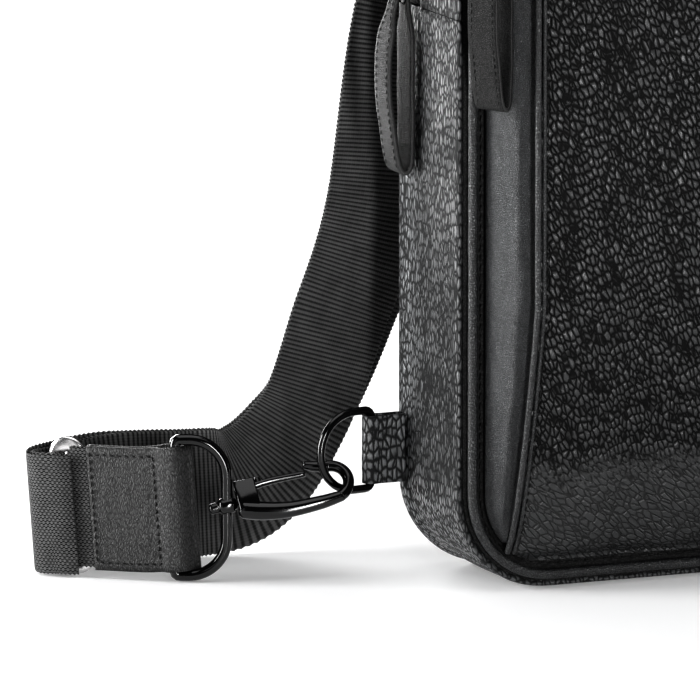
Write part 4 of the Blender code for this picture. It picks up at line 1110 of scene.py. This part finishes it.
def make_bag_rings():
    fold = BAG_RING_WIRE + GAP + TAB_LEATHER / 2
    length = BAG_RING_BAR_X - WIDTH / 2 - GAP
    shape = ring_points(BAG_RING_HALF, BAG_RING_REACH, BAG_RING_HALF, 2 * MM)
    for name, side, turn in (("left", -1, LEFT_RING_TURN), ("right", 1, 0.0)):
        bar = Vector((side * BAG_RING_BAR_X, TAB_Y, TAB_Z))
        outward = Vector((side, 0, 0))
        tab = folded_leather(name + "_ring_tab_leather", bar, outward, length, TAB_HEIGHT, fold,
                             TAB_LEATHER * 0.9, GUSSET, CUT_EDGE, 0.35 * MM)
        part(tab, "bag", "pebbled_leather", name + "_ring_tab")
        way = Vector((side * math.cos(turn), -math.sin(turn), 0))
        ring = wire_ring(name + "_d_ring", bar, way, shape, BAG_RING_WIRE, BLACK_METAL)
        part(ring, name + "_ring", "black_metal", name + "_bag_ring")


# ------------------------------------------------------------------ zip sliders and pulls
def pull_profile():
    """Teardrop of the folded pull as (out, up) from the bail's lower bar."""
    outer = [(-1.5, 0.3), (-0.9, 1.4), (0.3, 1.7), (1.5, 0.9), (3.0, -5), (4.4, -12), (5.0, -20), (4.7, -29),
             (3.4, -39), (2.2, -46.2)]
    inner = [(1.0, -49.2), (-0.6, -49.6), (-1.8, -47.4), (-2.2, -42), (-2.2, -34), (-2.2, -24), (-2.1, -13),
             (-1.9, -4)]
    return [Vector((away, up, 0)) * MM for away, up in outer + inner]


def pull_half_width(up):
    spread = min(1, max(0, (-up - 2 * MM) / (8 * MM)))
    return PULL_TOP_HALF + (PULL_HALF - PULL_TOP_HALF) * fade(spread, 0, 1)


def make_slider(prefix, base, out, across):
    """Slider body with its bridge, wire bail and the folded leather pull."""
    centre = base + out * (SLIDER_LIFT + 0.75 * MM)
    plates = [rounded_box("top", (*SLIDER_SIZE, 1.3 * MM), placed(centre, across, Z_AXIS, out),
                          BLACK_METAL, 0.5 * MM)]
    for side in (-1, 1):
        flange = centre + across * (side * (SLIDER_SIZE[0] / 2 - 0.5 * MM)) - out * (1.1 * MM)
        size = (0.9 * MM, SLIDER_SIZE[1] * 0.9, 1.9 * MM)
        matrix = placed(flange, across, Z_AXIS, out)
        plates.append(rounded_box("flange", size, matrix, BLACK_METAL, 0.35 * MM))
    hoop = [(-3.6, 3.0), (-3.5, 4.8), (-2.4, 6.1), (0, 6.5), (2.4, 6.1), (3.5, 4.8), (3.6, 3.0)]
    arch = smooth_route([base + (Z_AXIS * up + out * lift) * MM for up, lift in hoop], 6)
    plates.append(tube("bridge", arch, 0.7 * MM, BLACK_METAL, sides=12))
    part(merge(prefix + "_slider_body", plates), prefix + "_slider", "black_metal", prefix + "_slider")
    hinge = base + out * PULL_HINGE_LIFT
    round_off = 0.8 * MM
    corners = [(-0.75, 0), (0.75, 0), (1, -round_off), (1, round_off - BAIL_DROP), (0.8, -BAIL_DROP),
               (-0.8, -BAIL_DROP), (-1, round_off - BAIL_DROP), (-1, -round_off)]
    wire = evenly(smooth_route([hinge + across * (side * BAIL_HALF) + Z_AXIS * up for side, up in corners], 4,
                               closed=True), 0.6 * MM)
    bail = tube(prefix + "_pull_wire", wire, BAIL_WIRE, BLACK_METAL, closed=True, sides=12)
    part(bail, prefix + "_pull", "black_metal", prefix + "_pull_bail")
    make_pull(prefix, hinge - Z_AXIS * BAIL_DROP, out, across)


def make_pull(prefix, foot, out, across):
    line = smooth_route(pull_profile(), 7, closed=True)
    rows = []
    for spot in line:
        middle = foot + out * spot.x + Z_AXIS * spot.y
        half = pull_half_width(spot.y)
        bend = 0.3 * MM * ripple(middle, 9 * MM, 6.0)
        rows.append([middle + across * (half * share) + out * (bend - 0.22 * MM * abs(share) ** 3)
                     for share in [i / 6 - 1 for i in range(13)]])
    pull = grid(prefix + "_pull_strip", rows, PULL, closed=True)
    part(thicken(pull, PULL_LEATHER, side=0, rim=CUT_EDGE), prefix + "_pull", "edge_leather",
         prefix + "_pull_leather")
    for name, side in (("near", -1), ("far", 1)):
        outer = [spot for spot in line[8:70] if spot.x > 1.8 * MM]
        seam = [foot + out * (spot.x + 0.55 * MM) + Z_AXIS * spot.y
                + across * (side * (pull_half_width(spot.y) - 1.3 * MM)) for spot in outer]
        stitches = stitch_line("%s_pull_stitches_%s" % (prefix, name), seam, [out] * len(seam), BLACK_THREAD,
                               length=1.5 * MM, spacing=2.2 * MM, radius=0.2 * MM)
        part(stitches, prefix + "_pull", "edge_leather")


def make_sliders():
    main = Vector((-WIDTH / 2 + 0.5 * MM, MAIN_ZIP_Y, MAIN_ZIP_START + 10 * MM))
    make_slider("main_zip", main, -X_AXIS, -Y_AXIS)
    out = Vector((-POCKET_PULL_AXIS.y, POCKET_PULL_AXIS.x, 0))
    make_slider("pocket_zip", POCKET_HINGE - out * PULL_HINGE_LIFT, out, -POCKET_PULL_AXIS)


# ------------------------------------------------------------------ shoulder strap
STRAP_ROUTE = [
    ((-186.5, 46.9, 21.8), (0, 0, -1)),
    ((-189.2, 48.3, 21.8), (0, 0, -1)),
    ((-192.0, 50.8, 21.8), (0, 0, -1)),
    ((-194.3, 53.6, 21.6), (0, 0, -1)),
    ((-194.8, 57.0, 21.4), (0, 0, -1)),
    ((-193.0, 60.2, 21.2), (0, 0, -1)),
    ((-189.6, 61.9, 21), (0, 0, -1)),
    ((-184.0, 62.4, 20.6), (0, 0, -1)),
    ((-172, 62.6, 20), (0, 0, -1)),
    ((-157.8, 61.6, 19.6), (0, 0, -1)),
    ((-143, 59.2, 19.4), (0.1, 0, -0.99)),
    ((-131.5, 56.9, 20.8), (0.36, 0.08, -0.93)),
    ((-123, 55.4, 26.3), (0.62, 0.16, -0.76)),
    ((-115.2, 53.6, 36), (0.83, 0.27, -0.49)),
    ((-108.6, 52.4, 46.9), (0.91, 0.33, -0.26)),
    ((-100, 52, 68), (0.93, 0.31, -0.22)),
    ((-87.9, 51.6, 102), (0.96, 0.27, -0.13)),
    ((-77.5, 53.1, 161), (0.96, 0.26, -0.15)),
    ((-54.5, 55.5, 223), (0.95, 0.16, -0.27)),
    ((-31.5, 57.4, 286), (0.94, 0.05, -0.33)),
]


def lean(point):
    """The strap's end stands a little askew."""
    share = fade(-point.x, 135 * MM, 158 * MM)
    return point + STRAP_TAB_WAY * (STRAP_END_LEAN * (point.z - STRAP_RING_BAR.z) * share)


def sag(point):
    """The strap's end also hangs slightly below the middle of its ring."""
    return lean(point) - Z_AXIS * (STRAP_END_SAG * fade(-point.x, 160 * MM, 172 * MM))


def crest_stations(steps=12):
    """Half a turn of a helix from the slanting run behind the bag, over the top, to the anchor ring."""
    axis = Vector((math.cos(CREST_LEAN), 0, -math.sin(CREST_LEAN)))
    rise = Vector((math.sin(CREST_LEAN), 0, math.cos(CREST_LEAN)))
    drift = -CREST_RADIUS * math.tan(CREST_LEAN)
    centre = CREST_FOOT + Vector((0, CREST_RADIUS, CREST_START))
    stations = []
    for i in range(steps, -1, -1):
        turn = math.pi * i / steps
        out = rise * math.sin(turn) - Y_AXIS * math.cos(turn)
        run = axis * drift + (rise * math.cos(turn) + Y_AXIS * math.sin(turn)) * CREST_RADIUS
        stations.append((centre + axis * drift * turn + out * CREST_RADIUS, run.cross(out).normalized()))
    return stations + [(CREST_FOOT, X_AXIS)]


def strap_middle():
    """Centre line of the doubled strap and its width direction, as dense lists."""
    crest = crest_stations()
    centres = smooth_route([Vector(c) * MM for c, way in STRAP_ROUTE] + [c for c, way in crest], 24)
    ways = smooth_route([Vector(way) for c, way in STRAP_ROUTE] + [way for c, way in crest], 24)
    return centres, ways


def ribbon(name, centres, ways, half_width, thickness, material, squeeze=None,
           swap=math.inf):
    """Webbing along a line: flat faces and rounded selvedges whose ribs show as fine teeth."""
    runs = directions(centres)
    shares = [0.985, 0.94, 0.8, 0.6, 0.4, 0.2, 0]
    upper = [(-x, 1.0) for x in shares] + [(x, 1.0) for x in shares[-2::-1]]
    upper[0], upper[-1] = (-0.985, 0.72), (0.985, 0.72)
    outline = [(-1, 0.0)] + upper + [(1, 0.0)] + [(share, -lift) for share, lift in reversed(upper)]
    rows, weave, length = [], [], 0.0
    for i, (centre, run) in enumerate(zip(centres, runs)):
        if i:
            length += (centre - centres[i - 1]).length
        way = (ways[i] - run * ways[i].dot(run)).normalized()
        normal = way.cross(run)
        tooth = 0.2 * MM * math.cos(2 * math.pi * length / WEB_PITCH)
        row, pairs = [], []
        for share, lift in outline:
            width = half_width * (squeeze[i] if squeeze else 1.0)
            reach = share * (width + tooth * fade(abs(share), 0.9, 1.0))
            row.append(centre + way * reach + normal * (lift * thickness / 2))
            pairs.append((reach + (WEAVE_SHIFT if (lift < 0) != (i >= swap) else 0.0), length))
        rows.append(row)
        weave.append(pairs)
    obj = grid(name, rows, material, round_rows=True, weave=weave)
    settle_weave(obj)
    close_ends(obj, len(rows[0]), len(rows))
    return obj


def settle_weave(obj):
    """Give every face one side's weave coordinates where the two meet at a selvedge."""
    layer = obj.data.uv_layers["weave"]
    for face in obj.data.polygons:
        values = [layer.data[i].uv[0] for i in face.loop_indices]
        if max(values) - min(values) > WEAVE_SHIFT / 2:
            for i in face.loop_indices:
                u, v = layer.data[i].uv
                if u < WEAVE_SHIFT / 2:
                    layer.data[i].uv = (u + WEAVE_SHIFT, v)


def close_ends(obj, count, total):
    """Cap the first and last ring of a swept mesh."""
    shape = bmesh.new()
    shape.from_mesh(obj.data)
    shape.verts.ensure_lookup_table()
    shape.faces.new([shape.verts[j] for j in reversed(range(count))])
    shape.faces.new([shape.verts[(total - 1) * count + j] for j in range(count)])
    shape.to_mesh(obj.data)
    shape.free()


def make_strap():
    """One long webbing: out from the adjuster, up and round the anchor ring, and back beside itself."""
    centres, ways = strap_middle()
    step = WEB_PITCH / 4
    fine = evenly(centres, step)
    fine_ways = ways_along(ways, lengths_along(centres), len(fine))
    runs = directions(fine)
    front, rear, front_ways = [], [], []
    for centre, way, run in zip(fine, fine_ways, runs):
        way = (way - run * way.dot(run)).normalized()
        out = run.cross(way)
        front_ways.append(way)
        slip = way * (LAYER_SLIP * fade(centre.z, 26 * MM, 75 * MM)
                      * (1 - fade(centre.z, 210 * MM, 300 * MM)))
        front.append(centre + out * LAYER_OFFSET + slip * 0.5)
        rear.append(centre - out * LAYER_OFFSET - slip * 0.4)
    bar = CREST_FOOT + Vector((0, 0, -7 * MM))
    wrap = ANCHOR_WIRE + 0.25 * MM + WEB_THICK / 2
    turn = [bar + Vector((0, wrap * math.cos(a), wrap * math.sin(a)))
            for a in [math.radians(180 + 10 * i) for i in range(0, 19)]]
    first, last = (front, rear) if front[-1].y < rear[-1].y else (rear, front)
    path = first + turn + last[::-1][:-6]
    way_list = front_ways + [X_AXIS] * len(turn) + front_ways[::-1][:-6]
    dense = evenly(path, step)
    lengths = lengths_along(path)
    dense_ways = ways_along(way_list, lengths, len(dense))
    turned, squeeze = [], []
    for i, point in enumerate(dense):
        near = step * min(i, len(dense) - 1 - i)
        share = 1 - fade(near, 12 * MM, 46 * MM)
        turned.append(point - Z_AXIS * (UTURN_SAG * share))
        squeeze.append(1 - UTURN_SQUEEZE * share)
    crest = int(len(dense) * lengths[len(first) - 1] / lengths[-1])
    strap = ribbon("shoulder_strap", turned, dense_ways, WEB_WIDTH / 2, WEB_THICK, WEBBING, squeeze, crest)
    for vertex in strap.data.vertices:
        vertex.co = lean(vertex.co)
    part(strap, "bag", "webbing", "strap_webbing")


def make_strap_end():
    """The leather end tab with its stitched rectangle, its webbing, and the metal adjuster."""
    fold = STRAP_RING_WIRE + GAP + STRAP_TAB_LEATHER / 2
    outward = -STRAP_TAB_WAY
    side = outward.cross(Z_AXIS)
    front_side = -1 if side.y > 0 else 1
    tab = folded_leather("strap_tab_leather_piece", STRAP_RING_BAR, outward, STRAP_TAB_LENGTH,
                         STRAP_TAB_WIDTH, fold, STRAP_TAB_LEATHER * 0.9, TAB, CUT_EDGE, 0.25 * MM,
                         pinch=2.4 * MM, lean=sag)
    part(tab, "bag", "smooth_leather", "strap_end_tab")
    half = STRAP_TAB_WIDTH / 2
    left, right, top = -24.2, -5.2, half - 2.4 * MM
    corners = [(left, top), (right, top), (right, -top), (left, -top)]
    rectangle = []
    for (a, up_a), (b, up_b) in zip(corners, corners[1:] + corners[:1]):
        for i in range(12):
            t = i / 12
            out, up = (a + (b - a) * t) * MM, up_a + (up_b - up_a) * t
            surface = side * (front_side * (fold * 0.42 + STRAP_TAB_LEATHER * 0.47))
            rectangle.append(sag(STRAP_RING_BAR + outward * out + surface + Z_AXIS * up))
    rectangle.append(rectangle[0].copy())
    seam = stitch_line("strap_tab_stitches", rectangle, [side * front_side] * len(rectangle), BLACK_THREAD,
                       length=1.5 * MM, spacing=2.2 * MM, radius=0.26 * MM)
    part(seam, "bag", "edge_leather")
    back = STRAP_TAB_WAY.cross(Z_AXIS)
    back = -back if back.y < 0 else back
    stops = [(6, 0), (18, 0), (26, 0.1), (29, 0.2), (30.4, 0.5)]
    stations = [STRAP_RING_BAR + STRAP_TAB_WAY * (reach * MM) + back * (away * MM) for reach, away in stops]
    line = evenly(smooth_route(stations, 8), WEB_PITCH / 4)
    web = ribbon("tab_webbing_run", line, [-Z_AXIS] * len(line), WEB_WIDTH / 2 - 1.3 * MM, 1.1 * MM, WEBBING)
    for vertex in web.data.vertices:
        vertex.co = sag(vertex.co)
    part(web, "bag", "webbing", "tab_webbing")
    centre = STRAP_RING_BAR + STRAP_TAB_WAY * ADJUSTER_DISTANCE + back * ADJUSTER_BACK
    make_adjuster(centre, back)


def make_adjuster(centre, back):
    """Polished flat frame, broad at its rounded ends, with a middle bar."""
    half_width = ADJUSTER_HALF_WIDTH + ADJUSTER_WIRE
    half_height = ADJUSTER_HALF_HEIGHT - 0.1 * MM
    corner = half_width
    end = half_height - corner
    outer = arc((0, end), corner, 0, 180, 24) + arc((0, -end), corner, 180, 360, 24)
    line = evenly([Vector((a, b, 0)) for a, b in outer + outer[:1]], 0.8 * MM)[:-1]
    ways = directions(line, closed=True)
    rows = []
    for spot, way in zip(line, ways):
        inward = Vector((-way.y, way.x, 0))
        broad = 2.5 * MM + 3.0 * MM * fade(abs(spot.y), end - 2 * MM, end + 4 * MM)
        row = []
        for j in range(16):
            a = 2 * math.pi * j / 16
            depth = broad / 2 * (1 - math.copysign(abs(math.cos(a)) ** 0.7, math.cos(a)))
            lift = 1.15 * MM * math.copysign(abs(math.sin(a)) ** 0.7, math.sin(a))
            place = spot + inward * depth
            row.append(sag(centre + STRAP_TAB_WAY * place.x + Z_AXIS * place.y + back * lift))
        rows.append(row)
    rim = grid("rim", rows, SILVER, closed=True, round_rows=True)
    ends = Z_AXIS * (ADJUSTER_HALF_HEIGHT - 4.5 * MM)
    bar = tube("bar", evenly([sag(centre - ends), sag(centre + ends)], 2 * MM), ADJUSTER_WIRE * 0.85, SILVER)
    part(merge("adjuster_frame", [rim, bar]), "bag", "silver_metal", "adjuster")


# ------------------------------------------------------------------ strap ring and snap hook
def hook_axes():
    root = STRAP_RING_BAR + STRAP_RING_TURN * STRAP_RING_REACH + Z_AXIS * (0.6 * MM)
    turn = Vector((-math.cos(LEFT_RING_TURN), -math.sin(LEFT_RING_TURN), 0))
    middle = BAG_RING_REACH - BAG_RING_HALF
    bow = (Vector((-BAG_RING_BAR_X, TAB_Y, TAB_Z)) + turn * (middle + BAG_RING_HALF * math.cos(HOOKED_AT))
           - Z_AXIS * BAG_RING_HALF * math.sin(HOOKED_AT))
    length = (bow - root).length
    axis = (bow - root).normalized()
    up = (Z_AXIS - axis * axis.dot(Z_AXIS)).normalized()
    raised = up * math.cos(HOOK_LEAN) - axis.cross(up) * math.sin(HOOK_LEAN)
    return root, axis, raised, axis.cross(raised), length / MM


def make_hook():
    root, axis, raised, normal, bow_at = hook_axes()

    def at(along, up, out=0.0):
        return root + (axis * along + raised * up + normal * out) * MM

    make_ring_and_boss(at)
    bow = [(bow_at + a, b - 0.3) for a, b in arc((0, 0), HOOK_BOW, -75, 90, 22)]
    spine = [(4.4, -2.4), (9, -4.0), (14, -5.2), (19, -5.8), (bow_at - 4, -5.8)]
    tip = [(bow_at - 3.2, 5.7), (bow_at - 6.0, 6.8)]
    radii = [2.7, 2.75, 2.55, 2.3, 2.0] + [1.65] * len(bow) + [1.6, 1.2]
    steps = 5
    line = smooth_route([at(*point) for point in spine + bow + tip], steps)
    sizes = smooth_route([Vector((r, 0, 0)) for r in radii], steps)
    body = tube("spine", line, MM, BLACK_METAL, sides=20, radii=[v.x for v in sizes])
    cheeks = []
    for side in (-1, 1):
        matrix = placed(at(6.4, 1.2, side * 1.9), axis, raised, normal)
        cheeks.append(rounded_box("cheek", (6.2 * MM, 9.6 * MM, 1.2 * MM), matrix, BLACK_METAL, 0.45 * MM))
    floor = placed(at(6.4, -1.2), axis, raised, normal)
    cheeks.append(rounded_box("base", (6.2 * MM, 4.6 * MM, 4.8 * MM), floor, BLACK_METAL, 0.8 * MM))
    part(merge("snap_hook_body", [body] + cheeks), "hook", "black_metal", "hook_body")
    pin = tube("pin", evenly([at(-3.9, 0), at(5.3, 0)], 0.5 * MM), SWIVEL_PIN * MM, BLACK_METAL)
    head = tube("head", evenly([at(-4.5, 0), at(-2.75, 0)], 0.3 * MM), 1.65 * MM, BLACK_METAL)
    part(merge("swivel_pin_and_head", [pin, head]), "hook", "black_metal", "hook_swivel_pin")
    gate = [(7.9, 4.0), (10, 4.2), (15, 4.5), (bow_at - 6.9, 4.2)]
    line = smooth_route([at(*point) for point in gate], 8)
    sizes = smooth_route([Vector((r, 0, 0)) for r in (1.1, 1.15, 1.1, 0.95)], 8)
    arm = tube("arm", line, MM, BLACK_METAL, sides=16, radii=[v.x for v in sizes])
    pivot = evenly([at(*GATE_PIVOT, -1.05), at(*GATE_PIVOT, 0.05)], 0.3 * MM)
    eye = tube("eye", pivot, 1.8 * MM, BLACK_METAL)
    nub = tube("nub", evenly([at(10.4, 4.6), at(10.4, 6.0)], 0.3 * MM), 1.05 * MM, BLACK_METAL)
    part(merge("snap_hook_gate", [arm, eye, nub]), "gate", "black_metal", "hook_gate")


def make_ring_and_boss(at):
    """The strap's D-ring with the boss that the hook's swivel turns in."""
    shape = ring_points(STRAP_RING_HALF, STRAP_RING_REACH, 11 * MM, 1.2 * MM)
    ring = wire_ring("ring", STRAP_RING_BAR, STRAP_RING_TURN, shape, STRAP_RING_WIRE, BLACK_METAL)
    stops = [(-2.15, 1.9), (-2.0, 2.35), (-1.4, 2.5), (1.4, 2.5), (2.0, 2.35), (2.15, 1.9)]
    line = [at(along, 0) for along, size in stops]
    boss = tube("boss", line, MM, BLACK_METAL, sides=20, radii=[size for along, size in stops])
    part(merge("strap_d_ring", [ring, boss]), "strap_ring", "black_metal", "strap_ring")


# ------------------------------------------------------------------ strap anchor
def make_anchor():
    bar = Vector((0, MAIN_ZIP_Y + 8.2 * MM, HEIGHT + ANCHOR_RISE))
    side = WEB_WIDTH / 2 + 3 * MM
    r = 2 * MM
    high = ANCHOR_RING_HEIGHT
    shape = (arc((side - r, high - r), r, 0, 90, 8) + arc((-side + r, high - r), r, 90, 180, 8)
             + arc((-side + r, r), r, 180, 270, 8) + arc((side - r, r), r, 270, 360, 8))
    loop = [bar + Vector((x, 0, z)) for x, z in shape]
    loop = evenly(loop + loop[:1], 1.0 * MM)[:-1]
    ring = tube("anchor_ring_wire", loop, ANCHOR_WIRE, BLACK_METAL, closed=True, sides=16)
    part(ring, "bag", "black_metal", "anchor_ring")
    fold = ANCHOR_WIRE + GAP + TAB_LEATHER / 2
    foot = -(ANCHOR_RISE - GAP)
    profile = [(foot, fold * 0.7), (-6 * MM, fold * 0.78), (-4 * MM, fold * 0.9)]
    profile += [(fold * math.sin(math.radians(a)), fold * math.cos(math.radians(a)))
                for a in (0, 45, 90, 135, 180)]
    profile += [(-4 * MM, -fold * 0.9), (-6 * MM, -fold * 0.78), (foot, -fold * 0.7)]
    line = smooth_route([Vector((0, y, up)) for up, y in profile], 6)
    rows = [[bar + spot + X_AXIS * (WEB_WIDTH / 2 * (i / 12 - 1)) for i in range(25)] for spot in line]
    tab = thicken(grid("anchor_tab_leather", rows, GUSSET), TAB_LEATHER * 0.9, side=0, rim=CUT_EDGE)
    part(tab, "bag", "pebbled_leather", "strap_anchor")
    for name, way in (("front", -1), ("back", 1)):
        seam = [bar + Vector((x * MM, way * (fold * 0.88 + 0.56 * MM), -4.3 * MM)) for x in range(-17, 18)]
        stitches = stitch_line("anchor_stitches_" + name, seam, [Y_AXIS * way] * len(seam), BLACK_THREAD)
        part(stitches, "bag", "edge_leather")


# ------------------------------------------------------------------ carried-over CAD nodes
def finish_nodes():
    # The front panel gets the near-black painted shade of the groove it is seen in.
    looks = {"front_panel": PAINTED_SHADE_PANEL, "back_foam": FOAM, "lining": LINING, "base_board": BOARD,
             "gate_pin": BLACK_METAL, "gate_spring": STEEL}
    for name, look in looks.items():
        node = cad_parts[name]
        node.data.materials.clear()
        node.data.materials.append(look)


# ------------------------------------------------------------------ floor, lights and camera
def make_floor():
    mesh = bpy.data.meshes.new("floor")
    corners = [(-0.42, -0.27, 0), (0.34, -0.27, 0), (0.34, 0.24, 0), (-0.42, 0.24, 0)]
    mesh.from_pydata(corners, [], [(0, 1, 2, 3)])
    look = Look("pale_floor", Base_Color=(0.9, 0.9, 0.905, 1), Specular_IOR_Level=0.35,
                Emission_Strength=0.14, Emission_Color=(1, 1, 1, 1))
    haze = look.noise(look.place(), 0.4, 2.0)
    look.put("Roughness", look.fit(haze, 0.3, 0.7, 0.26, 0.34))
    floor = link("floor", mesh, look.material)
    floor.location.z = -0.1 * MM


def make_world():
    """White for the camera, and a dimmer even light for the bag."""
    world = bpy.data.worlds.new("studio")
    bpy.context.scene.world = world
    world.use_nodes = True
    tree = world.node_tree
    tree.nodes.clear()
    paths = tree.nodes.new("ShaderNodeLightPath")
    seen = tree.nodes.new("ShaderNodeBackground")
    seen.inputs["Color"].default_value = (1, 1, 1, 1)
    seen.inputs["Strength"].default_value = 1.0
    fill = tree.nodes.new("ShaderNodeBackground")
    fill.inputs["Color"].default_value = (0.98, 0.99, 1, 1)
    fill.inputs["Strength"].default_value = 0.04
    mix = tree.nodes.new("ShaderNodeMixShader")
    out = tree.nodes.new("ShaderNodeOutputWorld")
    tree.links.new(paths.outputs["Is Camera Ray"], mix.inputs[0])
    tree.links.new(fill.outputs[0], mix.inputs[1])
    tree.links.new(seen.outputs[0], mix.inputs[2])
    tree.links.new(mix.outputs[0], out.inputs[0])


def around(azimuth, elevation):
    a, e = math.radians(azimuth), math.radians(elevation)
    return Vector((math.sin(a) * math.cos(e), -math.cos(a) * math.cos(e), math.sin(e)))


def soft_light(name, target, azimuth, elevation, distance, width, height, power):
    data = bpy.data.lights.new(name, "AREA")
    data.shape = "RECTANGLE"
    data.size, data.size_y = width, height
    data.energy = power
    lamp = bpy.data.objects.new(name, data)
    bpy.context.scene.collection.objects.link(lamp)
    back = around(azimuth, elevation)
    lamp.location = target + back * distance
    lamp.rotation_euler = (-back).to_track_quat("-Z", "Y").to_euler()
    lamp.visible_camera = False


def make_lights():
    for name, *values in LIGHTS:
        soft_light(name, LIT_POINT, *values)


def make_camera():
    data = bpy.data.cameras.new("camera")
    data.lens = CAMERA_LENS
    data.sensor_width = CAMERA_SENSOR
    camera = bpy.data.objects.new("camera", data)
    bpy.context.scene.collection.objects.link(camera)
    back = around(CAMERA_AZIMUTH, CAMERA_ELEVATION)
    camera.location = CAMERA_TARGET + back * CAMERA_DISTANCE
    camera.rotation_euler = (-back).to_track_quat("-Z", "Y").to_euler()
    data.clip_start, data.clip_end = 0.05, 30
    bpy.context.scene.camera = camera


make_gusset()
make_piping()
make_main_zip()
make_back_panel()
make_pocket_sides()
make_pocket_zip()
make_pocket_front()
make_trim()
make_bag_rings()
make_sliders()
make_strap()
make_strap_end()
make_hook()
make_anchor()
finish_nodes()
make_floor()
make_world()
make_lights()
make_camera()

bpy.context.scene.view_settings.view_transform = "Standard"
bpy.context.scene.view_settings.look = "High Contrast"

bpy.context.view_layer.update()
